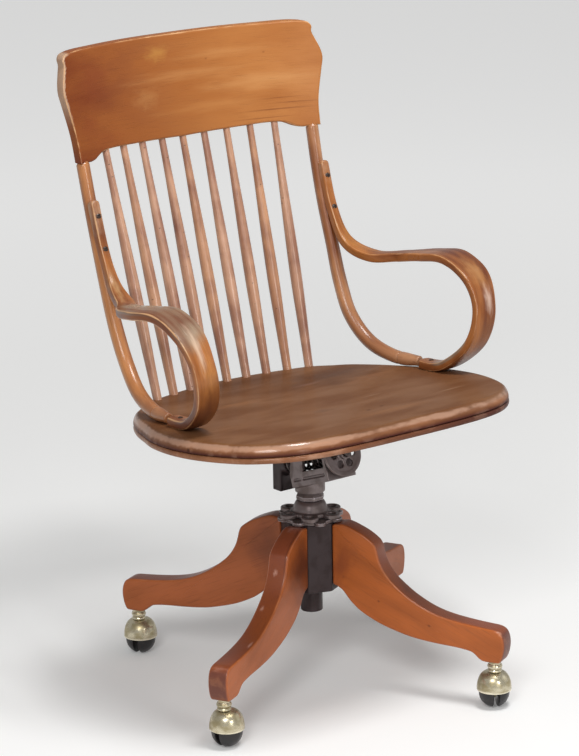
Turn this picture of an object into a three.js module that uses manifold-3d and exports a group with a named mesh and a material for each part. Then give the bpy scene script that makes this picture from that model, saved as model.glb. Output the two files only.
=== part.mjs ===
// Bankers swivel chair: bent-wood arms, a spindle back, a tilting iron and scrolled legs on ball casters.
// Millimetres, +Z up. The chair faces -Y, and the swivel column stands on the line x = 0, y = 0
// until the last step, which moves the origin to the middle of the floor that the chair covers.

import * as THREE from 'three';
import { mergeVertices } from 'three/addons/utils/BufferGeometryUtils.js';
import Module from 'manifold-3d';

const wasm = await Module();
wasm.setup();

// Clearances

const fitGap = 0.3;
const cutOverrun = 2;

// Casters: a ball split by a web, under a bell-shaped hood that swivels on a stem

const ballRadius = 23;
const ballSlot = 7.6;
const webThickness = 5;
const webWidth = 17;
const ballAxleRadius = 3.6;
const casterTrail = 5;
const casterTurns = [60, 100, 30, 10].map(THREE.MathUtils.degToRad);
const hoodRadius = 26;
const hoodRimHeight = 27;
const hoodTopHeight = 56.5;
const hoodNeckRadius = 10.5;
const hoodLining = 1.4;
const stemRadius = 4.5;
const stemTopHeight = 106;
const stemCollarRadius = 10.8;
const stemCollarHeight = 5;
const socketRadius = 7;
const socketFlangeRadius = 11.5;
const socketFlangeShare = 0.6;
const socketNeckRadius = 8.8;
const socketRings = 1.4;

// Legs: boards sawn to a scroll, tenoned into an eight-sided hub

const legThickness = 31;
const legTurns = [0, 90, 180, 270].map(THREE.MathUtils.degToRad);
const firstLegTurn = THREE.MathUtils.degToRad(-64.08);
const legReach = 320.5;
const hubTopHeight = 260;
const legTopRise = 0.5;
const legTopHeight = hubTopHeight + legTopRise;
const legFootHeight = 74.5;
const casterInset = 20.5;
const casterCircle = legReach - casterInset;
const tenonThickness = 14;
const tenonDepth = 15;
const tenonHeight = 70;

// Hub: the eight-sided column with its guide tube, and the scalloped plate on top

const hubFlat = 42;
const hubHeight = 108;
const hubBottomHeight = hubTopHeight - hubHeight;
const guideTubeRadius = 17;
const guideTubeLength = 38;
const plateThickness = 5;
const plateRadius = 43;
const plateScallopRadius = 9;
const plateScallopCount = 8;

// Height screw with its hand wheel, and the collar that the head turns on

const screwRadius = 12.5;
const screwLength = 200;
const wheelLobeCount = 6;
const wheelLobeTurn = THREE.MathUtils.degToRad(-10);
const wheelLobeCircle = 37;
const wheelLobeRadius = 13.5;
const wheelLobeHole = 6.5;
const wheelDiscRadius = 31;
const wheelThickness = 7;
const wheelDomeRadius = 26;
const wheelDomeHeight = 17;
const wheelNeckRadius = 19;
const collarRadius = 22;
const collarHeight = 12.5;
const collarFlats = 8;

// Tilting head: a socket on the screw, two rails that climb to the front, and the tension gear between them

const headRadius = 23;
const headHeight = 20;
const headRoof = 4.5;
const gearSlope = THREE.MathUtils.degToRad(19.5);
const gearAboveHub = 90.5;
const gearRise = hubTopHeight + gearAboveHub;
const railInside = 19.5;
const railThickness = 7;
const railDrop = 36;
const railTopDrop = 14;
const railGrooveDepth = 2.5;
const railGrooveWidth = 4;
const railFloor = 6;
const railFront = 70;
const railBack = 22;
const bulkheadThickness = 6;
const earRadius = 10;
const pivotAboveGear = 45.5;
const pivotHeight = gearRise + pivotAboveGear;
const pivotRadius = 6;
const pivotHeadRadius = 8.5;
const pivotHeadHeight = 3;
const springRadius = 15;
const springWire = 4;
const springTurns = 8;
const boltRadius = 5;
const boltTail = 15;
const boltCollarRadius = 8;
const boltCollarLength = 3;
const boltNose = 5;
const springPlateThickness = 5;
const tensionWheelRadius = 34;
const tensionWheelThickness = 5;
const tensionWheelRim = 8;
const tensionWheelGap = 9;
const tensionHoleCount = 6;
const tensionHoleCircle = 16;
const tensionHoleRadius = 4.6;
const tensionHubRadius = 9;
const tensionHubLength = 7;
const springSeatRadius = 15.5;
const springSeatBack = 45;
const springBossRadius = 8;
const springBossLength = 5;

// Seat iron: a plate with four feet under the seat, two ears on the pivot and the lever on the spring

const ironThickness = 6;
const ironHalfWidth = 46;
const ironBack = 78;
const ironFront = 60;
const ironFootAcross = 80;
const ironFootWidth = 24;
const ironFrontFoot = 60;
const ironBackFoot = 78;
const ironEarThickness = 7;
const ironEarGap = 0.8;
const leverWidth = 30;
const leverDepth = 20;
const leverBack = 72;
const leverDrop = 59.5;
const leverBottomHeight = gearRise - leverDrop;
const ironScrewRadius = 3;
const ironScrewHeadRadius = 6.5;
const ironScrewHeadHeight = 3.5;
const ironScrewLength = 22;

// Seat: a shield-shaped board that rises to the front, with a rounded rim over a groove and a bead

const seatAbovePivot = 53;
const seatHeight = pivotHeight + seatAbovePivot;
const seatSlope = THREE.MathUtils.degToRad(4.57);
const seatHalfWidth = 284;
const seatShift = -10;
const seatFront = 250;
const seatRear = 221;
const seatThickness = 27;
const seatBead = 8.5;
const seatGrooveDepth = 3.2;
const seatRimRound = 13;
const seatDish = 4;

// Back: nine spindles and two bent posts under a bowed crest rail

const spindleCount = 9;
const spindleFootPitch = 36.7;
const spindleHeadPitch = 40.3;
const spindleInset = 21;
const spindleFootBow = 590;
const spindleFootRadius = 6.9;
const spindleBellyRadius = 9.2;
const spindleHeadRadius = 5.4;
const spindleTenon = 14;
const backHeight = 511;
const crestDepth = 156.5;
const crestTopHeight = seatHeight + backHeight;
const crestBottomHeight = crestTopHeight - crestDepth;
const crestHalfWidth = 246;
const crestFace = 293;
const crestBow = 560;
const crestThickness = 18;
const crestLean = 0.213;
const postTopRadius = 10;
const postBendRadius = 11.2;
const postTipRadius = 8;
const postTenon = 24;
const postHeadAcross = 219;
const postWaistAcross = 216;
const postFootAcross = 241.5;
const postHeadBack = 257;
const postFootBack = 24;

// Arms: bent ribbons from the posts, forward round a loop and back to the seat

const armTopDrop = 59.5;
const armTopHeight = crestBottomHeight - armTopDrop;
const armHeadAcross = 219.6;
const armWideAcross = 273;
const armHeadBack = 231.5;
const armLoopFront = 97;
const armHeadWidth = 15;
const armWideWidth = 58;
const armLoopWidth = 38;
const armFootWidth = 25;
const armHeadThickness = 14.5;
const armLoopThickness = 12.5;
const screwHeadRadius = 5;
const screwHeadHeight = 2.2;
const screwShankRadius = 2.4;
const screwSink = 1.2;
const screwShankLength = 28;
const footScrewLength = 30;
const upperArmScrewDrop = 23;
const lowerArmScrewDrop = 71;
const postFootScrewBack = 47;
const armFootScrewFront = 2;

// Numbers of facets and steps

const roundSides = 16;
const smallSides = 8;
const casterSides = 12;
const bendSides = 10;
const wheelSides = 20;
const hoodSteps = 4;
const ballSteps = 4;
const curlSteps = 8;
const wireSides = 5;
const legCurveSteps = 1;
const crestCurveSteps = 1;
const bowSteps = 16;
const armSteps = 30;
const postSteps = 18;
const rimSteps = 3;
const seatOutlineSteps = 44;
const screwSearchShare = 0.0005;

// Materials, one for each piece, in the chair's own finishes

const finishes = {
  crestWood: [0xb5713a, 0.5, 0],
  turnedWood: [0xa9673a, 0.45, 0],
  armWood: [0x8a4a2a, 0.45, 0],
  seatWood: [0x80583c, 0.5, 0],
  legWood: [0x8f4a28, 0.5, 0],
  iron: [0x3a3634, 0.6, 0.8],
  brass: [0xb3a581, 0.35, 0.9],
  blackBall: [0x1d1a1b, 0.5, 0],
  steel: [0x4b4542, 0.5, 0.8],
};

function finish(name) {
  const [color, roughness, metalness] = finishes[name];
  return new THREE.MeshStandardMaterial({ color, roughness, metalness });
}

// Turning geometries into solids and back

function signedVolume(positions, index) {
  const [a, b, c] = [new THREE.Vector3(), new THREE.Vector3(), new THREE.Vector3()];
  let total = 0;
  for (let i = 0; i < index.length; i += 3) {
    a.fromArray(positions, 3 * index[i]);
    b.fromArray(positions, 3 * index[i + 1]);
    c.fromArray(positions, 3 * index[i + 2]);
    total += a.dot(b.cross(c)) / 6;
  }
  return total;
}

function solid(geometry) {
  const bare = geometry.clone();
  bare.deleteAttribute('normal');
  bare.deleteAttribute('uv');
  const merged = mergeVertices(bare);
  const positions = merged.attributes.position.array;
  const triangles = [];
  for (let i = 0; i < merged.index.count; i += 3) {
    const [a, b, c] = merged.index.array.slice(i, i + 3);
    if (a !== b && b !== c && c !== a) triangles.push(a, b, c);
  }
  if (signedVolume(positions, triangles) < 0) {
    for (let i = 0; i < triangles.length; i += 3) {
      [triangles[i], triangles[i + 1]] = [triangles[i + 1], triangles[i]];
    }
  }
  const vertProperties = Float32Array.from(positions);
  const triVerts = Uint32Array.from(triangles);
  return new wasm.Manifold(new wasm.Mesh({ numProp: 3, vertProperties, triVerts }));
}

function geometryOf(body) {
  const { vertProperties, triVerts } = body.getMesh();
  const geometry = new THREE.BufferGeometry();
  geometry.setAttribute('position', new THREE.BufferAttribute(vertProperties, 3));
  geometry.setIndex(new THREE.BufferAttribute(triVerts, 1));
  geometry.computeVertexNormals();
  return geometry;
}

function moved(body, matrix) {
  return body.transform(matrix.elements);
}

function piece(name, body, finishName) {
  const mesh = new THREE.Mesh(geometryOf(body), finish(finishName));
  mesh.name = name;
  return mesh;
}

// Shapes that several pieces share

function box(x, y, z) {
  const sides = [x, y, z].map(([low, high]) => high - low);
  const middle = [x, y, z].map(([low, high]) => (low + high) / 2);
  return solid(new THREE.BoxGeometry(...sides).translate(...middle));
}

// A turned piece from [radius, height] pairs, standing on the Z axis
function turned(profile, sides) {
  const points = profile.map(([radius, height]) => new THREE.Vector2(radius, height));
  return solid(new THREE.LatheGeometry(points, sides).rotateX(Math.PI / 2));
}

function rod(radius, bottom, top, sides = smallSides) {
  return turned([[0, bottom], [radius, bottom], [radius, top], [0, top]], sides);
}

// A round hole whose flats clear a rod of the given radius by the fit gap
function hole(radius, bottom, top, sides = smallSides) {
  return rod((radius + fitGap) / Math.cos(Math.PI / sides), bottom, top, sides);
}

// An outline in the XY plane raised along Z between two heights
function raised(shape, bottom, top, curveSegments = smallSides) {
  const settings = { depth: top - bottom, bevelEnabled: false, curveSegments };
  return solid(new THREE.ExtrudeGeometry(shape, settings).translate(0, 0, bottom));
}

// A board drawn in the plane of its two given axes, with its thickness centred on the third
function board(shape, thickness, placing, curveSegments = smallSides) {
  return moved(raised(shape, -thickness / 2, thickness / 2, curveSegments), placing);
}

// A closed skin through rings of points, with a fan on each end
function loft(rings) {
  const sides = rings[0].length;
  const points = rings.flat();
  const index = [];
  for (let ring = 0; ring < rings.length - 1; ring += 1) {
    for (let side = 0; side < sides; side += 1) {
      const a = ring * sides + side;
      const b = ring * sides + (side + 1) % sides;
      index.push(a, b, b + sides, a, b + sides, a + sides);
    }
  }
  const ends = [[0, true], [(rings.length - 1) * sides, false]];
  for (const [start, first] of ends) {
    const middle = new THREE.Vector3();
    for (let side = 0; side < sides; side += 1) middle.addScaledVector(points[start + side], 1 / sides);
    const centre = points.push(middle) - 1;
    for (let side = 0; side < sides; side += 1) {
      const a = start + side;
      const b = start + (side + 1) % sides;
      index.push(...(first ? [centre, b, a] : [centre, a, b]));
    }
  }
  const geometry = new THREE.BufferGeometry().setFromPoints(points);
  geometry.setIndex(index);
  return solid(geometry);
}

// Matrices: a frame from its three axes and its place
function frameOf(xAxis, yAxis, zAxis, place = new THREE.Vector3()) {
  return new THREE.Matrix4().makeBasis(xAxis, yAxis, zAxis).setPosition(place);
}

const across = new THREE.Vector3(1, 0, 0);
const back = new THREE.Vector3(0, 1, 0);
const up = new THREE.Vector3(0, 0, 1);
const mirror = new THREE.Matrix4().makeScale(-1, 1, 1);
const sideView = frameOf(back, up, across);
const frontView = frameOf(across, up, back.clone().negate());

// The line between two points, as a frame whose Z axis runs along it
function along(from, to) {
  const direction = to.clone().sub(from).normalize();
  const turn = new THREE.Quaternion().setFromUnitVectors(up, direction);
  return new THREE.Matrix4().makeRotationFromQuaternion(turn).setPosition(from);
}

function blend(from, to, share) {
  return from + (to - from) * share;
}

// A value that moves smoothly through [place share, value] pairs
function eased(table, share) {
  const last = table.findIndex(([place]) => place >= share);
  if (last <= 0) return table[Math.max(last, 0)][1];
  const [lowPlace, lowValue] = table[last - 1];
  const [highPlace, highValue] = table[last];
  const way = (share - lowPlace) / (highPlace - lowPlace);
  return blend(lowValue, highValue, way * way * (3 - 2 * way));
}

// Seat: rings that follow the outline at each inset and level, tilted to its slope

const seatOutlineShares = [
  [0, 1], [0.2, 0.99], [0.4, 0.963], [0.58, 0.925], [0.68, 0.872], [0.75, 0.835], [0.85, 0.735],
  [0.91, 0.648], [0.955, 0.58], [0.985, 0.505], [1, 0.425], [0.993, 0.33], [0.955, 0.234],
  [0.892, 0.149], [0.797, 0.087], [0.682, 0.042], [0.524, 0.015], [0.28, 0.002], [0, 0],
];

function seatPlace(xShare, yShare) {
  return new THREE.Vector2(seatHalfWidth * xShare, blend(-seatFront, seatRear, yShare));
}

function seatOutline() {
  const half = seatOutlineShares.map((shares) => seatPlace(...shares));
  const otherHalf = half.slice(1, -1).reverse().map((point) => new THREE.Vector2(-point.x, point.y));
  const closed = [...half, ...otherHalf].map((point) => new THREE.Vector3(point.x + seatShift, point.y, 0));
  return new THREE.CatmullRomCurve3(closed, true, 'centripetal').getSpacedPoints(seatOutlineSteps).slice(1);
}

const seatRing = seatOutline();

function seatInset(inset, level) {
  return seatRing.map((point, i) => {
    const before = seatRing[(i + seatOutlineSteps - 1) % seatOutlineSteps];
    const after = seatRing[(i + 1) % seatOutlineSteps];
    const direction = after.clone().sub(before).normalize();
    const inward = new THREE.Vector3(direction.y, -direction.x, 0);
    return point.clone().addScaledVector(inward, inset).setZ(level);
  });
}

// Rings further in shrink towards the middle of the board instead
function seatShrunk(share, level) {
  const middle = new THREE.Vector3(seatShift, (seatRear - seatFront) / 2, 0);
  const rim = seatInset(seatRimRound, 0);
  return rim.map((point) => point.sub(middle).multiplyScalar(share).add(middle).setZ(level));
}

const seatTilt = new THREE.Matrix4().makeRotationX(-seatSlope).setPosition(0, 0, seatHeight);

function seatTop(y) {
  return seatHeight - y * Math.tan(seatSlope);
}

// Outside this share of the outline the underside is clear of the seat iron
const clearUnderShare = 0.62;

function seatBoard() {
  const beadMiddle = seatBead / 2 - seatThickness;
  const grooveLevel = seatBead - seatThickness;
  const roundStart = grooveLevel + seatGrooveDepth / 2;
  const rings = [
    seatShrunk(clearUnderShare, -seatThickness),
    seatInset(seatGrooveDepth, -seatThickness),
    seatInset(seatGrooveDepth / 5, beadMiddle),
    seatInset(seatGrooveDepth, grooveLevel),
    seatInset(seatGrooveDepth / 3, roundStart),
  ];
  for (let step = 1; step <= rimSteps; step += 1) {
    const angle = (Math.PI / 2) * (step / rimSteps);
    rings.push(seatInset(seatRimRound * (1 - Math.cos(angle)), roundStart * (1 - Math.sin(angle))));
  }
  rings.push(seatShrunk(0.82, -seatDish / 8), seatShrunk(0.5, -seatDish * 0.75), seatShrunk(0.2, -seatDish));
  return moved(loft(rings), seatTilt);
}

// Spindles: turned rods between a bowed line of sockets in the seat and one in the crest

const spindleRingShares = [0, 0.1, 0.2, 0.38, 0.58, 0.78, 1];
const spindleBellyShare = 0.38;

function spindleEnds(number) {
  const step = number - (spindleCount + 1) / 2;
  const footX = step * spindleFootPitch;
  const headX = step * spindleHeadPitch;
  const footY = seatRear - spindleInset - bowDepth(footX, spindleFootBow);
  const headY = crestFace + crestThickness * 0.42 - bowDepth(headX, crestBow);
  const foot = new THREE.Vector3(footX, footY, seatTop(footY));
  return [foot, new THREE.Vector3(headX, headY, crestBottomHeight)];
}

// Depth of a circular bow at a distance from its middle
function bowDepth(distance, radius) {
  return radius - Math.sqrt(radius * radius - distance * distance);
}

function spindle(number, gap = 0) {
  const [foot, head] = spindleEnds(number);
  const length = foot.distanceTo(head);
  const widths = [[0, spindleFootRadius], [spindleBellyShare, spindleBellyRadius], [1, spindleHeadRadius]];
  const profile = [[0, -spindleTenon - gap], [spindleFootRadius * 0.88 + gap, -spindleTenon - gap]];
  for (const share of spindleRingShares) {
    profile.push([eased(widths, share) + gap, length * share]);
  }
  profile.push([spindleHeadRadius + gap, length + spindleTenon + gap], [0, length + spindleTenon + gap]);
  return moved(turned(profile, smallSides), along(foot, head));
}

const spindleNumbers = Array.from({ length: spindleCount }, (_, i) => i + 1);

// Crest rail: a bowed, leaning slab trimmed to its scrolled outline

const crestOutlineShares = [
  [0, 0.994], [0.61, 1], [0.88, 1], [0.942, 0.98], [0.961, 0.936], [0.955, 0.89], [0.972, 0.81],
  [0.994, 0.71], [1, 0.63], [0.986, 0.53], [0.967, 0.41], [0.95, 0.295], [0.937, 0.17], [0.93, -0.035],
];
const crestBottomShares = [
  [0.822, -0.045], [0.78, -0.035], [0.744, -0.01], [0.7, 0.016], [0.63, 0.026], [0.4, 0.016], [0, 0],
];

function crestPlace([xShare, zShare]) {
  return new THREE.Vector2(crestHalfWidth * xShare, blend(crestBottomHeight, crestTopHeight, zShare));
}

function crestOutline() {
  const side = crestOutlineShares.map(crestPlace);
  const bottom = crestBottomShares.map(crestPlace);
  const mirrored = (places) => places.map(({ x, y }) => new THREE.Vector2(-x, y)).reverse();
  const shape = new THREE.Shape().moveTo(side[0].x, side[0].y);
  shape.splineThru(side.slice(1));
  shape.lineTo(bottom[0].x, bottom[0].y);
  shape.splineThru(bottom.slice(1));
  shape.splineThru(mirrored(bottom).slice(1));
  shape.lineTo(-side.at(-1).x, side.at(-1).y);
  shape.splineThru(mirrored(side).slice(1));
  return shape;
}

function crestSlab() {
  const angle = Math.asin(crestHalfWidth / crestBow) * 1.06;
  const strip = new THREE.Shape();
  strip.absarc(0, crestFace - crestBow, crestBow, Math.PI / 2 - angle, Math.PI / 2 + angle, false);
  const outer = crestBow + crestThickness;
  strip.absarc(0, crestFace - crestBow, outer, Math.PI / 2 + angle, Math.PI / 2 - angle, true);
  const low = crestBottomHeight - spindleTenon;
  const high = crestTopHeight + spindleTenon;
  const lean = new THREE.Matrix4().makeShear(0, 0, 0, 0, 0, crestLean);
  const shifted = new THREE.Matrix4().makeTranslation(0, -crestLean * crestBottomHeight, 0);
  return moved(raised(strip, low, high, bowSteps), shifted.multiply(lean));
}

function crestRail() {
  const placing = frontView.clone().setPosition(0, crestFace, 0);
  const prism = board(crestOutline(), crestBow, placing, crestCurveSteps);
  return crestSlab().intersect(prism);
}

// Posts: bent rods from the crest down to feet that lie along the rim of the seat

const postPathShares = [
  [0, 1, 1], [0.5, 0.937, 0.816], [0.75, 0.864, 0.632], [0.62, 0.783, 0.46], [0.86, 0.7, 0.295],
  [0.72, 0.593, 0.152], [-0.2, 0.43, 0.0475], [-0.6, 0.22, 0.0025], [-1, 0, 0.003],
];
const postWidthShares = [[0, 0], [0.35, 0.1], [0.62, 1], [0.8, 1], [0.93, 0.35], [1, -1]];

// Across, the path goes from the head in to the waist and then out to the foot
function postAcross(share) {
  const towards = share >= 0 ? postWaistAcross : postFootAcross;
  return blend(postHeadAcross, towards, Math.abs(share));
}

const postFootHeight = seatTop(postFootBack) + postTipRadius;

function postPath(gap = 0) {
  const places = postPathShares.map(([xShare, yShare, zShare]) => new THREE.Vector3(
    postAcross(xShare),
    blend(postFootBack, postHeadBack, yShare),
    blend(postFootHeight, crestBottomHeight, zShare),
  ));
  const lift = places[0].clone().sub(places[1]).normalize().multiplyScalar(postTenon + gap);
  return new THREE.CatmullRomCurve3([places[0].clone().add(lift), ...places], false, 'centripetal');
}

function postRadius(share) {
  const level = eased(postWidthShares, share);
  return blend(postTopRadius, level >= 0 ? postBendRadius : postTipRadius, Math.abs(level));
}

function ringAround(path, share, radiusAcross, radiusUp, sides) {
  const middle = path.getPointAt(share);
  const direction = path.getTangentAt(share);
  const outward = direction.clone().cross(across).normalize();
  const sideways = outward.clone().cross(direction);
  return sides.map(([a, b]) => middle.clone()
    .addScaledVector(sideways, radiusAcross * a)
    .addScaledVector(outward, radiusUp * b));
}

function circleSides(count) {
  return Array.from({ length: count }, (_, i) => {
    const angle = (2 * Math.PI * (i + 0.5)) / count;
    return [Math.cos(angle), Math.sin(angle)];
  });
}

function seatRest(gap) {
  const reach = 2 * seatHalfWidth;
  return moved(box([-reach, reach], [-reach, reach], [-reach, gap]), seatTilt);
}

function post(gap = 0) {
  const path = postPath(gap);
  const rings = [];
  for (let step = 0; step <= postSteps; step += 1) {
    const share = step / postSteps;
    const radius = postRadius(share) + gap;
    rings.push(ringAround(path, share, radius, radius, circleSides(bendSides)));
  }
  return loft(rings).subtract(seatRest(fitGap));
}

// Arms: a ribbon carried along a loop, wide where the forearm rests

const armPathShares = [
  [0, 1, 1], [0, 0.929, 0.749], [0.07, 0.835, 0.58], [0.33, 0.693, 0.521], [0.79, 0.564, 0.532],
  [1, 0.404, 0.563], [0.99, 0.23, 0.581], [0.96, 0.073, 0.5], [0.86, 0.003, 0.341], [0.69, 0.028, 0.177],
  [0.46, 0.156, 0.042], [0.4, 0.25, 0.007], [0.385, 0.357, 0],
];
const armThicknessShares = [[0, 0], [0.3, 0.1], [0.6, 1], [0.85, 0.8], [1, 0.2]];
const ribbonSides = [
  [1, -0.45], [1, 0.45], [0.78, 1], [-0.78, 1], [-1, 0.45], [-1, -0.45], [-0.78, -1], [0.78, -1],
];

const armFootBack = blend(-armLoopFront, armHeadBack, armPathShares.at(-1)[1]);
const armFootHeight = seatTop(armFootBack) + armHeadThickness / 2 + fitGap;

function armPath() {
  const places = armPathShares.map(([xShare, yShare, zShare]) => new THREE.Vector3(
    blend(armHeadAcross, armWideAcross, xShare),
    blend(-armLoopFront, armHeadBack, yShare),
    blend(armFootHeight, armTopHeight, zShare),
  ));
  return new THREE.CatmullRomCurve3(places, false, 'centripetal');
}

function armWidth(share) {
  const widths = [[0, armHeadWidth], [0.14, armHeadWidth], [0.3, armLoopWidth * 0.75], [0.5, armWideWidth],
    [0.6, armWideWidth * 0.9], [0.72, armLoopWidth * 1.05], [0.88, armLoopWidth], [1, armFootWidth]];
  return eased(widths, share);
}

function arm() {
  const path = armPath();
  const rings = [];
  for (let step = 0; step <= armSteps; step += 1) {
    const share = step / armSteps;
    const thickness = blend(armHeadThickness, armLoopThickness, eased(armThicknessShares, share));
    rings.push(ringAround(path, share, armWidth(share) / 2, thickness / 2, ribbonSides));
  }
  return loft(rings).subtract(seatRest(fitGap)).subtract(post(fitGap));
}

// Legs, each drawn along the X axis

const casterPlace = new THREE.Matrix4().makeTranslation(casterCircle, 0, 0);
const socketTop = stemTopHeight + socketRings + fitGap;
const legTopShares = [
  [0, 0.9888], [0.035, 0.9944], [0.06, 1], [0.092, 0.9888], [0.132, 0.9664], [0.175, 0.9384],
  [0.218, 0.9006], [0.25, 0.8627],
];
const legInstepShares = [
  [0.261, 0.8249], [0.269, 0.7717], [0.283, 0.7073], [0.308, 0.6401], [0.344, 0.5756],
  [0.391, 0.5168], [0.441, 0.4622], [0.495, 0.4146], [0.552, 0.374], [0.614, 0.3417],
  [0.682, 0.3193], [0.754, 0.3039], [0.826, 0.2927], [0.898, 0.2843], [0.948, 0.2773],
  [0.977, 0.2577], [0.993, 0.2171], [1, 0.1583],
];
const legToeShares = [[0.998, 0.1107], [0.989, 0.0504]];
const legSoleShares = [0.973, 0.88];
const legUndersideShares = [
  [0.858, 0.014], [0.818, 0.0644], [0.775, 0.0784], [0.711, 0.0882], [0.621, 0.0953],
  [0.531, 0.1065], [0.452, 0.1233], [0.351, 0.1611], [0.279, 0.1961], [0.218, 0.2367],
  [0.159, 0.2857], [0.108, 0.3502], [0.083, 0.3936], [0.06, 0.4356], [0.035, 0.4622], [0, 0.479],
];

function legPlace([reachShare, heightShare]) {
  const reach = blend(hubFlat + fitGap, legReach, reachShare);
  return new THREE.Vector2(reach, blend(legFootHeight, legTopHeight, heightShare));
}

function legOutline() {
  const shape = new THREE.Shape();
  const top = legTopShares.map(legPlace);
  shape.moveTo(top[0].x, top[0].y);
  shape.splineThru(top.slice(1));
  shape.splineThru(legInstepShares.map(legPlace));
  for (const place of legToeShares.map(legPlace)) shape.lineTo(place.x, place.y);
  for (const place of legSoleShares.map((share) => legPlace([share, 0]))) shape.lineTo(place.x, place.y);
  const underside = legUndersideShares.map(legPlace);
  shape.lineTo(underside[0].x, underside[0].y);
  shape.splineThru(underside.slice(1));
  return shape;
}

function tenon(gap) {
  const middle = (hubTopHeight + hubBottomHeight) / 2;
  const half = tenonHeight / 2 + gap;
  const side = tenonThickness / 2 + gap;
  const root = hubFlat - tenonDepth - gap;
  return box([root, hubFlat + cutOverrun], [-side, side], [middle - half, middle + half]);
}

function leg() {
  const socketHole = hole(socketRadius, legFootHeight - cutOverrun, socketTop + fitGap, casterSides);
  const scroll = board(legOutline(), legThickness, frontView, legCurveSteps);
  return scroll.add(tenon(0)).subtract(moved(socketHole, casterPlace));
}

// Casters, each drawn with its stem on the Z axis and its ball trailing along X

const stemCollarBottom = hoodTopHeight + fitGap;
const socketBottom = stemCollarBottom + stemCollarHeight + fitGap;
const socketFlangeTop = legFootHeight - fitGap;
const rivetBottom = hoodTopHeight - hoodLining * 2;

function casterSocket() {
  const flangeWaist = socketFlangeRadius - socketRings;
  const flangeTop = blend(socketBottom, socketFlangeTop, socketFlangeShare);
  const flangeMiddle = (socketBottom + flangeTop) / 2;
  const bore = (stemRadius + fitGap) / Math.cos(Math.PI / casterSides);
  return turned([
    [bore, socketBottom], [flangeWaist, socketBottom], [socketFlangeRadius, flangeMiddle],
    [flangeWaist, flangeTop], [socketNeckRadius, flangeTop], [socketNeckRadius, socketFlangeTop],
    [socketRadius, socketFlangeTop], [socketRadius, socketTop],
    [bore, socketTop], [bore, socketBottom],
  ], casterSides);
}

function casterStem() {
  const collarTop = stemCollarBottom + stemCollarHeight;
  const collarMiddle = (stemCollarBottom + collarTop) / 2;
  return turned([
    [0, rivetBottom], [stemRadius, rivetBottom], [stemRadius, stemCollarBottom],
    [stemCollarRadius - socketRings, stemCollarBottom], [stemCollarRadius, collarMiddle],
    [stemCollarRadius - socketRings, collarTop], [stemRadius, collarTop], [stemRadius, stemTopHeight],
    [0, stemTopHeight],
  ], casterSides);
}

const hoodShoulderShares = [[0.35, 0.94], [0.72, 0.7], [0.95, 0.35], [1, 0]];
const ballPlace = new THREE.Matrix4().makeTranslation(casterTrail, 0, 0);
const axlePlace = frameOf(across, up.clone().negate(), back, new THREE.Vector3(casterTrail, 0, ballRadius));

function casterHood() {
  const clearRadius = ballRadius + hoodLining;
  const bell = [[0, hoodTopHeight], [hoodNeckRadius, hoodTopHeight]];
  for (const [outShare, upShare] of hoodShoulderShares) {
    bell.push([blend(hoodNeckRadius, hoodRadius, outShare), blend(hoodRimHeight, hoodTopHeight, upShare)]);
  }
  const rimAngle = Math.asin((hoodRimHeight - ballRadius) / clearRadius);
  for (let step = 0; step <= hoodSteps; step += 1) {
    const angle = blend(rimAngle, Math.PI / 2, step / hoodSteps);
    bell.push([clearRadius * Math.cos(angle), ballRadius + clearRadius * Math.sin(angle)]);
  }
  bell[bell.length - 1][0] = 0;
  const shell = moved(turned(bell, roundSides), ballPlace);
  const web = box([-webWidth / 2, webWidth / 2], [-webThickness / 2, webThickness / 2],
    [ballRadius, ballRadius + clearRadius + hoodLining]);
  const webEnd = moved(rod(webWidth / 2, -webThickness / 2, webThickness / 2, casterSides), axlePlace);
  const axleHole = moved(hole(ballAxleRadius, -webThickness, webThickness, roundSides), axlePlace);
  const rivetHole = hole(stemRadius, rivetBottom - fitGap, hoodTopHeight + cutOverrun, casterSides);
  const hanger = moved(web, ballPlace).add(webEnd).subtract(axleHole);
  return shell.add(hanger).subtract(rivetHole);
}

// Two half balls, joined by the axle that runs through the web
function casterBall() {
  const startAngle = Math.asin(ballSlot / 2 / ballRadius);
  const half = [];
  for (let step = 0; step <= ballSteps; step += 1) {
    const angle = blend(startAngle, Math.PI / 2, step / ballSteps);
    half.push([ballRadius * Math.cos(angle), ballRadius * Math.sin(angle)]);
  }
  half[ballSteps][0] = 0;
  const slotSide = [ballAxleRadius, half[0][1]];
  const upper = [slotSide, ...half];
  const lower = upper.map(([radius, height]) => [radius, -height]).reverse();
  return moved(turned([...lower, ...upper], roundSides), axlePlace);
}

// Hub

function hubColumn() {
  const side = legThickness / 2;
  const corners = [[hubFlat, -side], [hubFlat, side], [side, hubFlat], [-side, hubFlat],
    [-hubFlat, side], [-hubFlat, -side], [-side, -hubFlat], [side, -hubFlat]];
  const outline = new THREE.Shape(corners.map(([x, y]) => new THREE.Vector2(x, y)));
  const tubeBottom = hubBottomHeight - guideTubeLength;
  let column = raised(outline, hubBottomHeight, hubTopHeight);
  column = column.add(rod(guideTubeRadius, tubeBottom, hubBottomHeight + cutOverrun, roundSides));
  for (const turn of legTurns) {
    column = column.subtract(moved(tenon(fitGap), new THREE.Matrix4().makeRotationZ(turn)));
  }
  return column.subtract(hole(screwRadius, tubeBottom - cutOverrun, hubTopHeight + cutOverrun, roundSides));
}

const plateBottom = hubTopHeight + fitGap;
const wheelBottom = plateBottom + plateThickness + fitGap;
const wheelTop = wheelBottom + wheelThickness;
const collarBottom = wheelTop + wheelDomeHeight + fitGap;
const headBottom = collarBottom + collarHeight + fitGap;

// Copies of a disc spaced round a circle, joined together
function discsRound(count, circle, radius, bottom, top, turn = 0) {
  const discs = Array.from({ length: count }, (_, i) => {
    const angle = turn + (2 * Math.PI * i) / count;
    const place = new THREE.Matrix4().makeTranslation(circle * Math.cos(angle), circle * Math.sin(angle), 0);
    return moved(rod(radius, bottom, top), place);
  });
  return discs.reduce((all, disc) => all.add(disc));
}

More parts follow.
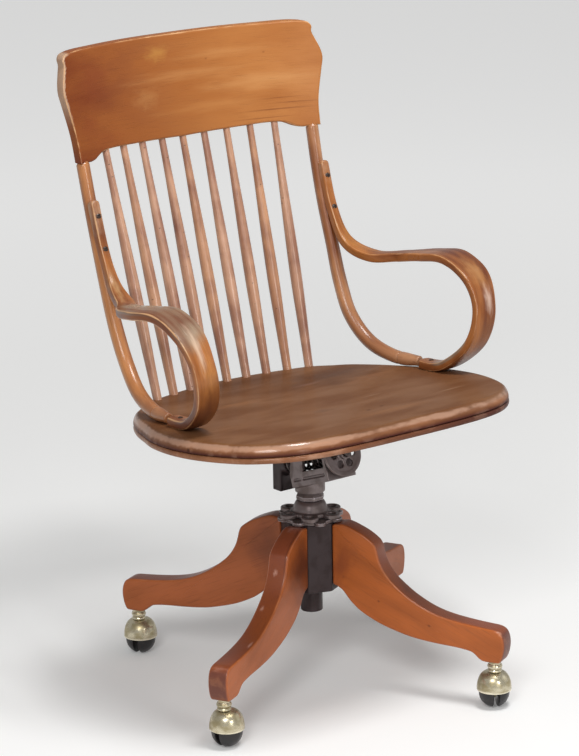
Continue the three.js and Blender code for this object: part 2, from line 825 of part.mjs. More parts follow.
function hubPlate() {
  const top = plateBottom + plateThickness;
  const scallops = discsRound(plateScallopCount, plateRadius, plateScallopRadius, plateBottom, top);
  const bore = hole(screwRadius, plateBottom - cutOverrun, top + cutOverrun, roundSides);
  return rod(plateRadius, plateBottom, top, roundSides).add(scallops).subtract(bore);
}

// Height screw, its hand wheel and the swivel collar

const wheelDomeShares = [[1, 0], [1, 0.3], [0.6, 0.75], [0, 1]];

function heightWheel() {
  const ring = (radius, overrun) => discsRound(wheelLobeCount, wheelLobeCircle, radius,
    wheelBottom - overrun, wheelTop + overrun, wheelLobeTurn);
  const lobes = ring(wheelLobeRadius, 0);
  const holes = ring(wheelLobeHole, cutOverrun);
  const domeTop = wheelTop + wheelDomeHeight;
  const dome = turned([
    [0, wheelBottom], [wheelDiscRadius, wheelBottom], [wheelDiscRadius, wheelTop],
    ...wheelDomeShares.map(([outShare, upShare]) => [
      blend(wheelNeckRadius, wheelDomeRadius, outShare), blend(wheelTop, domeTop, upShare),
    ]),
    [0, domeTop],
  ], roundSides);
  const bore = hole(screwRadius, wheelBottom - cutOverrun, domeTop + cutOverrun, roundSides);
  return lobes.subtract(holes).add(dome).subtract(bore);
}

const screwTop = headBottom + headHeight - headRoof - fitGap;

function heightScrew() {
  return rod(screwRadius, screwTop - screwLength, screwTop, roundSides);
}

function swivelCollar() {
  const top = collarBottom + collarHeight;
  const waist = collarRadius * 0.9;
  const body = turned([
    [0, collarBottom], [waist, collarBottom], [collarRadius, blend(collarBottom, top, 0.25)],
    [collarRadius, blend(collarBottom, top, 0.75)], [waist, top], [0, top],
  ], collarFlats);
  return body.subtract(hole(screwRadius, collarBottom - cutOverrun, top + cutOverrun, roundSides));
}

// Tilting head, drawn in a frame whose Y axis runs back along the tension gear

const gearFrame = new THREE.Matrix4().makeRotationX(-gearSlope).setPosition(0, 0, gearRise);
const gearTurn = frameOf(across, up.clone().negate(), back);

// A turned piece on the gear's axis, with its heights counted back from the column
function onGear(body) {
  return moved(body, gearFrame.clone().multiply(gearTurn));
}

function bothSides(body) {
  return body.add(moved(body, mirror));
}

function ear(inside, thickness, footY, footHeight, reach) {
  const shape = new THREE.Shape();
  shape.moveTo(-footY, footHeight);
  shape.lineTo(-reach, pivotHeight);
  shape.absarc(0, pivotHeight, reach, Math.PI, 0, true);
  shape.lineTo(footY, footHeight);
  const middle = new THREE.Matrix4().makeTranslation(inside + thickness / 2, 0, 0);
  return bothSides(board(shape, thickness, middle.multiply(sideView)));
}

const pivotPlace = frameOf(up.clone().negate(), back, across, new THREE.Vector3(0, 0, pivotHeight));
const railOutside = railInside + railThickness;

function tiltHead() {
  const rail = box([railInside, railOutside], [-railFront, railBack], [-railDrop, -railTopDrop]);
  const grooveMiddle = -(railDrop + railTopDrop) / 2;
  const groove = box([railOutside - railGrooveDepth, railOutside + cutOverrun],
    [-railFront + railThickness, railBack - railThickness],
    [grooveMiddle - railGrooveWidth / 2, grooveMiddle + railGrooveWidth / 2]);
  const floor = box([-railOutside, railOutside], [-railFront, railBack], [-railDrop, -railDrop + railFloor]);
  const bulkheadEnd = -railFront + bulkheadThickness;
  const bulkhead = box([-railOutside, railOutside], [-railFront, bulkheadEnd], [-railDrop, 0]);
  const arch = moved(rod(springSeatRadius + railFloor, -railFront, bulkheadEnd, roundSides), gearTurn);
  const boltHole = moved(hole(boltRadius, -railFront - cutOverrun, bulkheadEnd + cutOverrun), gearTurn);
  const trough = bothSides(rail.subtract(groove)).add(floor).add(bulkhead).add(arch).subtract(boltHole);
  const headTop = headBottom + headHeight;
  const socket = rod(headRadius, headBottom, headTop, roundSides);
  const bore = hole(screwRadius, headBottom - railDrop, headTop - headRoof, roundSides);
  const earFoot = gearRise - railTopDrop * 1.6;
  const ears = ear(railInside, railThickness, earRadius * 1.6, earFoot, earRadius);
  const pinHole = moved(hole(pivotRadius, -2 * railOutside, 2 * railOutside), pivotPlace);
  const below = box([-railFront, railFront], [-railFront, railFront], [headBottom - railDrop, headBottom]);
  return moved(trough, gearFrame).add(socket).add(ears).subtract(bore).subtract(pinHole).subtract(below);
}

const ironEarInside = railOutside + ironEarGap;
const ironEarOutside = ironEarInside + ironEarThickness;

function pivotPin() {
  const end = ironEarOutside + ironEarGap;
  return moved(turned([
    [0, -end - pivotHeadHeight], [pivotHeadRadius, -end - pivotHeadHeight], [pivotHeadRadius, -end],
    [pivotRadius, -end], [pivotRadius, end],
    [pivotHeadRadius, end], [pivotHeadRadius, end + pivotHeadHeight],
    [0, end + pivotHeadHeight],
  ], smallSides), pivotPlace);
}

// Tension gear: wheel and bolt, the plate that the bolt drives, and the coil spring

const springPlateFront = -railFront + bulkheadThickness + fitGap + boltCollarLength + fitGap;
const springFront = springPlateFront + springPlateThickness + fitGap;
const springBack = springSeatBack - fitGap;
const wheelBack = -railFront - fitGap;
const wheelDiscBack = wheelBack - tensionWheelGap;
const wheelDiscFront = wheelDiscBack - tensionWheelThickness;
const wheelFront = wheelDiscFront - tensionHubLength;

function tensionBolt() {
  const collarFront = -railFront + bulkheadThickness + fitGap;
  return onGear(turned([
    [0, wheelFront - boltNose], [boltRadius, wheelFront - boltNose], [boltRadius, collarFront],
    [boltCollarRadius, collarFront], [boltCollarRadius, collarFront + boltCollarLength],
    [boltRadius, collarFront + boltCollarLength], [boltRadius, boltTail], [0, boltTail],
  ], smallSides));
}

function tensionWheel() {
  const rimInside = tensionWheelRadius - tensionWheelRim;
  const webFront = wheelDiscFront + tensionWheelThickness / 4;
  const webBack = wheelDiscBack - tensionWheelThickness / 4;
  const disc = turned([
    [0, wheelFront], [tensionHubRadius, wheelFront], [tensionHubRadius, webFront], [rimInside, webFront],
    [rimInside + tensionWheelRim / 4, wheelDiscFront], [tensionWheelRadius, wheelDiscFront],
    [tensionWheelRadius, wheelDiscBack], [rimInside + tensionWheelRim / 4, wheelDiscBack],
    [rimInside, webBack],
    [tensionHubRadius, webBack], [tensionHubRadius, wheelBack], [0, wheelBack],
  ], wheelSides);
  const holes = discsRound(tensionHoleCount, tensionHoleCircle, tensionHoleRadius,
    wheelDiscFront - cutOverrun, wheelDiscBack + cutOverrun);
  const bore = hole(boltRadius, wheelFront - cutOverrun, wheelBack + cutOverrun);
  return onGear(disc.subtract(holes).subtract(bore));
}

function springPlate() {
  const side = railInside - fitGap;
  const plateBack = springPlateFront + springPlateThickness;
  const bottom = -railDrop + railFloor + fitGap;
  const plate = box([-side, side], [springPlateFront, plateBack], [bottom, springSeatRadius]);
  const bore = moved(hole(boltRadius, springPlateFront - cutOverrun, plateBack + cutOverrun), gearTurn);
  return moved(plate.subtract(bore), gearFrame);
}

// The spring's wire: straight at each end, then one helix with its first and last turns drawn in
function springPath() {
  const coilRadius = springRadius - springWire / 2;
  const steps = springTurns * curlSteps;
  const start = springFront + springWire;
  const end = springBack - springWire;
  const places = [new THREE.Vector3(coilRadius, springFront, 0)];
  for (let step = 0; step <= steps; step += 1) {
    const angle = (2 * Math.PI * step) / curlSteps;
    const height = blend(start, end, step / steps);
    places.push(new THREE.Vector3(coilRadius * Math.cos(angle), height, coilRadius * Math.sin(angle)));
  }
  places.push(new THREE.Vector3(coilRadius, springBack, 0));
  return places;
}

function tensionSpring() {
  const places = springPath();
  const sides = circleSides(wireSides);
  const rings = places.map((place, i) => {
    const ahead = places[Math.min(i + 1, places.length - 1)];
    const behind = places[Math.max(i - 1, 0)];
    const direction = ahead.clone().sub(behind).normalize();
    const outward = new THREE.Vector3(place.x, 0, place.z).projectOnPlane(direction).normalize();
    const sideways = direction.clone().cross(outward);
    return sides.map(([a, b]) => place.clone()
      .addScaledVector(outward, (springWire / 2) * a)
      .addScaledVector(sideways, (springWire / 2) * b));
  });
  return moved(loft(rings), gearFrame);
}

// Least clear distance between turns of the spring, measured on the points of its path
function springSelfGap() {
  const places = springPath();
  let least = Infinity;
  for (let i = 0; i < places.length; i += 1) {
    for (let j = i + curlSteps / 2; j < places.length; j += 1) {
      least = Math.min(least, places[i].distanceTo(places[j]) - springWire);
    }
  }
  return least;
}

// Seat iron

function ironPlate(bottom, top) {
  const half = ironFootWidth / 2;
  const bar = (y) => {
    const end = rod(half, bottom, top, roundSides);
    const place = new THREE.Matrix4().makeTranslation(ironFootAcross, y, 0);
    const middle = box([-ironFootAcross, ironFootAcross], [y - half, y + half], [bottom, top]);
    return middle.add(bothSides(moved(end, place)));
  };
  const middle = box([-ironHalfWidth, ironHalfWidth], [-ironFront, ironBack], [bottom, top]);
  return middle.add(bar(-ironFrontFoot)).add(bar(ironBackFoot));
}

const ironScrewPlaces = [
  [-ironFootAcross, -ironFrontFoot], [ironFootAcross, -ironFrontFoot],
  [-ironFootAcross, ironBackFoot], [ironFootAcross, ironBackFoot],
];

function seatIron() {
  const top = -seatThickness - fitGap;
  const plate = moved(ironPlate(top - ironThickness, top), seatTilt);
  const earTop = seatTop(0) - seatThickness - ironThickness;
  const ears = ear(ironEarInside, ironEarThickness, earRadius * 1.8, earTop, earRadius);
  const leverFront = leverBack - leverDepth;
  const leverTop = seatTop(leverBack) - seatThickness - ironThickness;
  const leverSides = [-leverWidth / 2, leverWidth / 2];
  const lever = box(leverSides, [leverFront, leverBack], [leverBottomHeight, leverTop]);
  const padEnd = springSeatBack + leverDepth;
  const pad = onGear(rod(springSeatRadius, springSeatBack, padEnd, roundSides));
  const boss = onGear(rod(springBossRadius, springSeatBack - springBossLength, padEnd));
  const behindSides = [leverBack, leverBack + leverDepth * 2];
  const behind = box([-leverWidth, leverWidth], behindSides, [leverBottomHeight, leverTop]);
  const pinHole = moved(hole(pivotRadius, -2 * ironEarOutside, 2 * ironEarOutside), pivotPlace);
  let iron = plate.add(ears).add(lever).add(pad.add(boss).subtract(behind)).subtract(pinHole);
  for (const place of ironScrewPlaces) iron = iron.subtract(ironScrewHole(place));
  return iron;
}

const ironScrewHeadLevel = -seatThickness - fitGap - ironThickness - fitGap;

function onSeat(body, [x, y]) {
  return moved(body, seatTilt.clone().multiply(new THREE.Matrix4().makeTranslation(x, y, 0)));
}

function ironScrew(place) {
  const bottom = ironScrewHeadLevel - ironScrewHeadHeight;
  const tip = ironScrewHeadLevel + ironScrewLength;
  return onSeat(turned([
    [0, bottom], [ironScrewHeadRadius * 0.7, bottom],
    [ironScrewHeadRadius, bottom + ironScrewHeadHeight / 2],
    [ironScrewHeadRadius, ironScrewHeadLevel], [ironScrewRadius, ironScrewHeadLevel], [ironScrewRadius, tip],
    [0, tip],
  ], smallSides), place);
}

function ironScrewHole(place) {
  const tip = ironScrewHeadLevel + ironScrewLength;
  return onSeat(hole(ironScrewRadius, ironScrewHeadLevel - cutOverrun, tip + fitGap), place);
}

// Small round-headed screws of the arms and posts, with the head's underside at the origin

function smallScrew(length) {
  return turned([
    [0, screwHeadHeight], [screwHeadRadius * 0.6, screwHeadHeight], [screwHeadRadius, screwHeadHeight / 3],
    [screwHeadRadius, 0], [screwShankRadius, 0], [screwShankRadius, -length], [0, -length],
  ], smallSides);
}

// The hole of such a screw, with a seat for its head
function smallScrewHole(length) {
  const headRoom = screwHeadRadius + fitGap;
  const shankRoom = screwShankRadius + fitGap;
  const top = screwHeadHeight + cutOverrun;
  return turned([
    [0, top], [headRoom, top], [headRoom, -fitGap], [shankRoom, -fitGap],
    [shankRoom, -length - fitGap], [0, -length - fitGap],
  ], smallSides);
}

// Place on the arm's front face at a height on its upright stretch, with Z pointing out of the face
function armScrewPlace(height) {
  const path = armPath();
  let share = 0;
  while (path.getPointAt(share).z > height) share += screwSearchShare;
  const middle = path.getPointAt(share);
  const outward = path.getTangentAt(share).cross(across).normalize();
  const sideways = outward.clone().cross(across);
  const face = middle.addScaledVector(outward, armHeadThickness / 2 - screwSink);
  return frameOf(across, sideways, outward, face);
}

// Place on top of a foot that lies on the seat, at a distance back, with Z pointing up from the seat
function footScrewPlace(path, distanceBack, halfHeight) {
  const footBack = path.getPointAt(1).y;
  const wanted = Math.abs(distanceBack - footBack);
  let share = 1;
  while (Math.abs(path.getPointAt(share).y - footBack) < wanted) share -= screwSearchShare;
  const middle = path.getPointAt(share);
  const head = middle.addScaledVector(up, halfHeight - screwSink);
  return new THREE.Matrix4().makeRotationX(-seatSlope).setPosition(head);
}

const fittings = [
  ['upper_arm_screw', armScrewPlace(armTopHeight - upperArmScrewDrop), screwShankLength],
  ['lower_arm_screw', armScrewPlace(armTopHeight - lowerArmScrewDrop), screwShankLength],
  ['post_foot_screw', footScrewPlace(postPath(), postFootScrewBack, postTipRadius), footScrewLength],
  ['arm_foot_screw', footScrewPlace(armPath(), -armFootScrewFront, armHeadThickness / 2), footScrewLength],
];

const screwHoles = fittings.map(([, place, length]) => moved(smallScrewHole(length), place));

function drilled(body) {
  return screwHoles.reduce((left, screwHole) => left.subtract(screwHole), body);
}

// Seat and crest with the sockets of everything that stands in them

function seat() {
  let body = seatBoard();
  for (const screwHole of screwHoles) body = body.subtract(screwHole).subtract(moved(screwHole, mirror));
  for (const place of ironScrewPlaces) body = body.subtract(ironScrewHole(place));
  for (const number of spindleNumbers) body = body.subtract(spindle(number, fitGap));
  return body;
}

function crest() {
  let rail = crestRail();
  for (const number of spindleNumbers) rail = rail.subtract(spindle(number, fitGap));
  const socket = post(fitGap);
  return rail.subtract(socket).subtract(moved(socket, mirror));
}

// The assembly

const chair = new THREE.Group();

const base = new THREE.Group();
base.rotation.z = firstLegTurn;
base.add(piece('hub_column', hubColumn(), 'iron'), piece('hub_plate', hubPlate(), 'iron'));
chair.add(base);

legTurns.forEach((turn, i) => {
  const number = i + 1;
  const quarter = new THREE.Group();
  quarter.rotation.z = turn;
  const caster = new THREE.Group();
  caster.position.x = casterCircle;
  const swivel = new THREE.Group();
  swivel.rotation.z = casterTurns[i] - turn - firstLegTurn;
  swivel.add(
    piece(`caster_${number}_hood`, casterHood(), 'brass'),
    piece(`caster_${number}_stem`, casterStem(), 'brass'),
    piece(`caster_${number}_wheels`, casterBall(), 'blackBall'),
  );
  caster.add(swivel, piece(`caster_${number}_socket`, casterSocket(), 'brass'));
  quarter.add(caster, piece(`leg_${number}`, leg(), 'legWood'));
  base.add(quarter);
});

chair.add(
  piece('screw_spindle', heightScrew(), 'steel'),
  piece('height_wheel', heightWheel(), 'iron'),
  piece('swivel_collar', swivelCollar(), 'iron'),
  piece('tilt_yoke', tiltHead(), 'iron'),
  piece('pivot_pin', pivotPin(), 'steel'),
  piece('tension_bolt', tensionBolt(), 'steel'),
  piece('tension_wheel', tensionWheel(), 'iron'),
  piece('spring_plate', springPlate(), 'iron'),
  piece('tension_spring', tensionSpring(), 'steel'),
  piece('seat_iron', seatIron(), 'iron'),
);

ironScrewPlaces.forEach((place, i) => {
  chair.add(piece(`seat_iron_screw_${i + 1}`, ironScrew(place), 'steel'));
});
chair.add(piece('seat', seat(), 'seatWood'), piece('crest_rail', crest(), 'crestWood'));
for (const number of spindleNumbers) chair.add(piece(`spindle_${number}`, spindle(number), 'turnedWood'));

for (const [side, placing] of [['left', new THREE.Matrix4()], ['right', mirror]]) {
  chair.add(piece(`${side}_back_post`, moved(drilled(post()), placing), 'turnedWood'));
  chair.add(piece(`${side}_arm`, moved(drilled(arm()), placing), 'armWood'));
  for (const [name, place, length] of fittings) {
    chair.add(piece(`${side}_${name}`, moved(moved(smallScrew(length), place), placing), 'steel'));
  }
}

console.log(`least gap between the turns of the spring: ${springSelfGap().toFixed(2)} mm`);

// The origin goes to the middle of the floor that the chair covers

const extent = new THREE.Box3().setFromObject(chair, true);
const extentMiddle = extent.getCenter(new THREE.Vector3());
chair.position.set(-extentMiddle.x, -extentMiddle.y, -extent.min.z);
console.log(`origin moved by ${chair.position.toArray().map((value) => value.toFixed(3)).join(', ')} mm`);

export default chair;
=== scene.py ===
# %% [markdown]
# # A bankers swivel chair, finished in Blender
#
# The chair stands on four ball casters. A height screw and a tilting iron carry a shaped seat with a
# spindle back and looped arms. The frame that is loaded here holds the solids and the bodies they move
# with. Every piece below is a smooth surface laid over one of those solids, in metres, in the same place.

# %% The frame
import math

import bmesh
import bpy
import numpy as np
from mathutils import Matrix


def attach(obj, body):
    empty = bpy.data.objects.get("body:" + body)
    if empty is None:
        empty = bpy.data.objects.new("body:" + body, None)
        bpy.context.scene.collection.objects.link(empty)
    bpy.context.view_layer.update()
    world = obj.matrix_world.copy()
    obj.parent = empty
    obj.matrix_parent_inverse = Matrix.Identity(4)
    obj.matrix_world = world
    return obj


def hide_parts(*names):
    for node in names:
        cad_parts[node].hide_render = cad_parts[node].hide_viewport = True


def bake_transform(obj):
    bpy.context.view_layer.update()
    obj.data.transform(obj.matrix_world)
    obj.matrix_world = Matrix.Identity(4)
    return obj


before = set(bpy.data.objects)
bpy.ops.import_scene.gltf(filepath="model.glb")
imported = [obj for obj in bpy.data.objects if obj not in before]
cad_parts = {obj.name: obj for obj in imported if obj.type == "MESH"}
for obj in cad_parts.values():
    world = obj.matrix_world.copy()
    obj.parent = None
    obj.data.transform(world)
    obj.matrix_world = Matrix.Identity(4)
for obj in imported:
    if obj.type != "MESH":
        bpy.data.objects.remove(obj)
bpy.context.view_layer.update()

# %% [markdown]
# ## Sizes
#
# The chair was measured in millimetres from the foot of its swivel column, so the sizes below are too. One
# function turns such points into metres in the frame. The gear under the seat and the seat itself both
# slope, so each has a function that lays points into its own tilted plane.

# %% Millimetres from the column, and the two sloping planes
MM = 0.001
COLUMN = np.array([0.0, -0.02455, -0.000316])
SEAT_SLOPE = math.radians(4.57)
SEAT_HEIGHT = 449.0
GEAR_SLOPE = math.radians(19.5)
GEAR_HEIGHT = 350.5
ACROSS, BACK, UP = np.eye(3)


def unit(vectors):
    """Vectors brought to length one."""
    return vectors / np.linalg.norm(vectors, axis=-1, keepdims=True)


def full_turn(sides):
    """Angles at even steps once round."""
    return np.linspace(0, 2 * np.pi, sides, endpoint=False)


def linked(name, data):
    """A new object in the scene."""
    made = bpy.data.objects.new(name, data)
    bpy.context.scene.collection.objects.link(made)
    return made


def metres(points):
    """Points in millimetres from the column's foot, as metres in the frame."""
    return np.asarray(points, float) * MM + COLUMN


def sloped(points, slope, height):
    """Points turned about X by minus the slope, then lifted:
    y' = y cos + z sin, z' = z cos - y sin + height."""
    x, y, z = np.moveaxis(np.asarray(points, float), -1, 0)
    cos, sin = math.cos(slope), math.sin(slope)
    return np.stack([x, y * cos + z * sin, z * cos - y * sin + height], -1)


def on_seat(points):
    """Points given in the seat's own plane: across, back along its top, and square to it."""
    return sloped(points, SEAT_SLOPE, SEAT_HEIGHT)


def on_gear(points):
    """Points given along the tilting gear: across, back along its bolt, and square to that."""
    return sloped(points, GEAR_SLOPE, GEAR_HEIGHT)


def turned_about(points, angle, centre=(0.0, 0.0)):
    """Points turned about a vertical axis through centre, after the turn: x' = cx + x cos - y sin."""
    x, y, z = np.moveaxis(np.asarray(points, float), -1, 0)
    cos, sin = math.cos(angle), math.sin(angle)
    return np.stack([centre[0] + x * cos - y * sin, centre[1] + x * sin + y * cos, z], -1)


# %% [markdown]
# ## Curves
#
# Bent wood and sawn outlines are smooth curves through a few measured points. A centripetal Catmull-Rom
# curve passes through each point without overshooting where the points stand close, which a plain spline
# would do.


# %% Curves through points
def distances(curve):
    """How far along a curve each of its points lies."""
    return np.concatenate([[0], np.cumsum(np.linalg.norm(np.diff(curve, axis=0), axis=1))])


def sampled(places, way, values):
    """Values known at the places way, at other places between them."""
    return np.stack([np.interp(places, way, axis) for axis in values.T], -1)


def evenly(curve, count):
    """The same curve with points at even steps of its length."""
    way = distances(curve)
    return sampled(np.linspace(0, way[-1], count), way, curve)


def through(points, count, closed=False):
    """A centripetal Catmull-Rom curve: between points a and b, with slopes ma and mb and s from 0 to 1, it is
    (2s^3 - 3s^2 + 1)a + (s^3 - 2s^2 + s)ma + (3s^2 - 2s^3)b + (s^3 - s^2)mb."""
    points = np.asarray(points, float)
    if closed:
        padded = np.vstack([points[-1:], points, points[:2]])
    else:
        padded = np.vstack([2 * points[0] - points[1], points, 2 * points[-1] - points[-2]])
    step = np.sqrt(np.linalg.norm(np.diff(padded, axis=0), axis=1))[:, None]
    before, after = step[:-1], step[1:]
    slope = (
        (padded[1:-1] - padded[:-2]) / before
        - (padded[2:] - padded[:-2]) / (before + after)
        + (padded[2:] - padded[1:-1]) / after
    )
    knots = np.concatenate([[0], np.cumsum(step[1:-1, 0])])
    fine = np.linspace(0, knots[-1], 40 * len(knots))
    span = np.clip(np.searchsorted(knots, fine, side="right") - 1, 0, len(knots) - 2)
    width = (knots[span + 1] - knots[span])[:, None]
    s = (fine - knots[span])[:, None] / width
    a, b = padded[1:-1][span], padded[1:-1][span + 1]
    ma, mb = slope[span] * width, slope[span + 1] * width
    curve = (2 * s**3 - 3 * s**2 + 1) * a + (s**3 - 2 * s**2 + s) * ma
    curve += (3 * s**2 - 2 * s**3) * b + (s**3 - s**2) * mb
    return evenly(curve, count)


# %% Values along a curve, and rounded corners
def eased(table, share):
    """Values between the table's (place, value) pairs, blended with w = 3t^2 - 2t^3."""
    place, value = np.array(table, float).T
    i = np.clip(np.searchsorted(place, share, side="left") - 1, 0, len(place) - 2)
    t = np.clip((share - place[i]) / (place[i + 1] - place[i]), 0, 1)
    return value[i] + (value[i + 1] - value[i]) * t * t * (3 - 2 * t)


ROUND_STEPS = 6


def rounded(corners, radius, loop=True):
    """Corners cut off by curves (1-t)^2 a + 2t(1-t) p + t^2 b, where a and b lie one radius either side of p.
    Also gives how near each point is to the middle of its curve, from 0 to 1, as a mask for worn edges."""
    corners = np.asarray(corners, float)
    before, after = np.roll(corners, 1, 0) - corners, np.roll(corners, -1, 0) - corners
    t = np.linspace(0, 1, ROUND_STEPS)[:, None, None]
    start, end = (
        corners + unit(side) * np.minimum(radius, 0.45 * np.linalg.norm(side, axis=1, keepdims=True))
        for side in (before, after)
    )
    points = (1 - t) ** 2 * start + 2 * t * (1 - t) * corners + t**2 * end
    near = np.broadcast_to(1 - np.abs(2 * t[:, :, 0] - 1) ** 2, (ROUND_STEPS, len(corners)))
    if loop:
        return points.transpose(1, 0, 2).reshape(-1, corners.shape[1]), near.T.ravel()
    inner = points[:, 1:-1].transpose(1, 0, 2).reshape(-1, corners.shape[1])
    worn = np.concatenate([[0], near[:, 1:-1].T.ravel(), [0]])
    return np.vstack([corners[:1], inner, corners[-1:]]), worn


# %% [markdown]
# ## Skins and pieces
#
# A skin is a grid of points: rows along the piece, columns around it. Each point also carries where it lies
# in its wood (grain), whether it is on an edge that hands wear (edge), and a second mask whose meaning each
# finish chooses (zone). These travel with the mesh as attributes, so a pattern follows the piece, turned or
# bent.


# %% Skins
def skin(rows, grain=None, edge=0.0, zone=0.0, around=True, wrap=False, caps=True):
    """Quads between neighbouring points of a grid, in millimetres. around closes each row, wrap joins the
    last row to the first, and caps shuts the two ends."""
    count, width = rows.shape[:2]
    row = np.arange(count if wrap else count - 1)[:, None]
    column = np.arange(width if around else width - 1)[None, :]
    right, below = (column + 1) % width, (row + 1) % count
    here, under = row * width, below * width
    quads = np.stack([here + column, here + right, under + right, under + column], -1)
    closed_ends = caps and around and not wrap
    ends = [np.arange(width)[::-1], np.arange(width) + (count - 1) * width] if closed_ends else []
    spread = lambda value: np.broadcast_to(value, (count, width)).astype(float).reshape(-1)
    return {
        "points": rows.reshape(-1, 3),
        "quads": quads.reshape(-1, 4),
        "ends": ends,
        "grain": (rows if grain is None else np.broadcast_to(grain, rows.shape)).reshape(-1, 3) * MM,
        "edge": spread(edge),
        "zone": spread(zone),
    }


# %% Meshes from skins
def marked(mesh, masks):
    """Stores a number or a vector for each point of a mesh, under each mask's name."""
    for name, values in masks.items():
        values = np.asarray(values, np.float32)
        kind, field = ("FLOAT", "value") if values.ndim == 1 else ("FLOAT_VECTOR", "vector")
        mesh.attributes.new(name, kind, "POINT").data.foreach_set(field, values.ravel())


def welded(mesh, outwards):
    """Joins points that lie in one place, and turns the faces outwards if asked."""
    edit = bmesh.new()
    edit.from_mesh(mesh)
    bmesh.ops.remove_doubles(edit, verts=edit.verts, dist=1e-6)
    if outwards:
        bmesh.ops.recalc_face_normals(edit, faces=edit.faces)
    edit.to_mesh(mesh)
    edit.free()
    return mesh


def mesh_of(name, skins):
    """One mesh of several skins, welded where they meet, with every face pointing outwards."""
    starts = np.cumsum([0] + [len(part["points"]) for part in skins])
    faces = []
    for start, part in zip(starts, skins):
        faces += (part["quads"] + start).tolist() + [(end + start).tolist() for end in part["ends"]]
    mesh = bpy.data.meshes.new(name)
    mesh.from_pydata(metres(np.vstack([part["points"] for part in skins])), [], faces)
    marked(mesh, {mask: np.concatenate([part[mask] for part in skins]) for mask in ("edge", "zone", "grain")})
    return welded(mesh, outwards=True)


# %% Pieces that stand for solids
def dressed(mesh, name, body, material, nodes):
    """An object of a finished mesh that rides on a body and stands for the named solids."""
    made = linked(name, mesh)
    mesh.materials.clear()
    mesh.materials.append(material)
    mesh.polygons.foreach_set("use_smooth", [True] * len(mesh.polygons))
    mesh.set_sharp_from_angle(angle=math.radians(40))
    print(name, len(mesh.polygons), "faces")
    if body:
        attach(made, body)
    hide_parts(*nodes)
    return made


def piece(name, body, slot, material, nodes, *skins):
    """A finished piece made of skins."""
    return dressed(mesh_of(name, skins), name, body, material, nodes)


# %% Turned work
def frame_along(start, end, side=ACROSS):
    """An origin and three axes, the third from start to end and the first near side."""
    third = unit(end - start)
    first = unit(side - third * (side @ third))
    return start, first, np.cross(third, first), third


UPRIGHT = (np.zeros(3), ACROSS, BACK, UP)


def laid(local, placing):
    """Local points in the millimetre frame: origin + x first + y second + z third."""
    origin, first, second, third = placing
    return origin + local[..., :1] * first + local[..., 1:2] * second + local[..., 2:] * third


def circled(radius, height, angle):
    """Points r cos u, r sin u, h, with one row for each radius and height."""
    return np.stack([radius * np.cos(angle), radius * np.sin(angle), height + 0 * angle], -1)


def lathe(profile, sides, placing=UPRIGHT, shape=1.0, edge=0.0, zone=0.0, wrap=False):
    """A profile of (radius, height) turned about the third axis: r cos u, r sin u, h. shape is a factor on
    the radius for each side, for a piece that isn't quite round. edge can have a value for each point."""
    radius, height = np.asarray(profile, float).T[:, :, None]
    local = circled(radius * shape, height, full_turn(sides))
    edge = np.asarray(edge)[:, None] if np.ndim(edge) == 1 else edge
    return skin(laid(local, placing), grain=local[..., [2, 0, 1]], edge=edge, zone=zone, wrap=wrap)


# %% [markdown]
# ## Shared effects for the finishes
#
# Wood, iron and brass share a few effects: the figure of the grain, wear where hands and shoes rub, and
# small dents and flecks. Each is a node group with named inputs, built once and used with other values
# in each material. They read the attributes above, so nothing slides when a part of the chair moves.


# %% Nodes and groups
def node(tree, kind, inputs=None, **settings):
    """A node with its settings, and its inputs set to values or linked to other nodes' outputs."""
    made = tree.nodes.new(kind)
    for key, value in settings.items():
        setattr(made, key, value)
    for key, value in (inputs or {}).items():
        if isinstance(value, bpy.types.NodeSocket):
            tree.links.new(value, made.inputs[key])
        else:
            made.inputs[key].default_value = value
    return made


def maths(tree, operation, *values):
    """The result of one sum on values or other nodes' outputs."""
    return node(tree, "ShaderNodeMath", dict(enumerate(values)), operation=operation).outputs[0]


def mixed(tree, share, first, second, blend="MIX"):
    """Two colours mixed by a share from 0 to 1."""
    made = node(tree, "ShaderNodeMix", {0: share, 6: first, 7: second}, data_type="RGBA", blend_type=blend)
    return made.outputs[2]


def stepped(tree, value, low, high, to_low=0.0, to_high=1.0):
    """A value eased from to_low to to_high while the input goes from low to high."""
    inputs = {"Value": value, "From Min": low, "From Max": high, "To Min": to_low, "To Max": to_high}
    return node(tree, "ShaderNodeMapRange", inputs, interpolation_type="SMOOTHSTEP").outputs[0]


def noise(tree, vector, stretch, detail=3.0, distortion=0.0):
    """Noise on a vector that is first stretched, so that it runs along the grain."""
    scaled = node(tree, "ShaderNodeVectorMath", {0: vector, 1: stretch}, operation="MULTIPLY")
    inputs = {"Vector": scaled.outputs[0], "Scale": 1.0, "Detail": detail, "Distortion": distortion}
    return node(tree, "ShaderNodeTexNoise", inputs).outputs[0]


def group(name, inputs, outputs):
    """An empty node group with the given sockets, its input node and its output node."""
    tree = bpy.data.node_groups.new(name, "ShaderNodeTree")
    for label, kind, value in inputs:
        tree.interface.new_socket(label, in_out="INPUT", socket_type=kind).default_value = value
    for label in outputs:
        tree.interface.new_socket(label, in_out="OUTPUT", socket_type="NodeSocketFloat")
    return tree, tree.nodes.new("NodeGroupInput").outputs, tree.nodes.new("NodeGroupOutput").inputs


def used(tree, group_tree, inputs):
    """The outputs of a shared effect, with its inputs set or linked."""
    return node(tree, "ShaderNodeGroup", inputs, node_tree=group_tree).outputs


def times(tree, first, second):
    return maths(tree, "MULTIPLY", first, second)


def plus(tree, first, second):
    return maths(tree, "ADD", first, second)


VECTOR, NUMBER = "NodeSocketVector", "NodeSocketFloat"

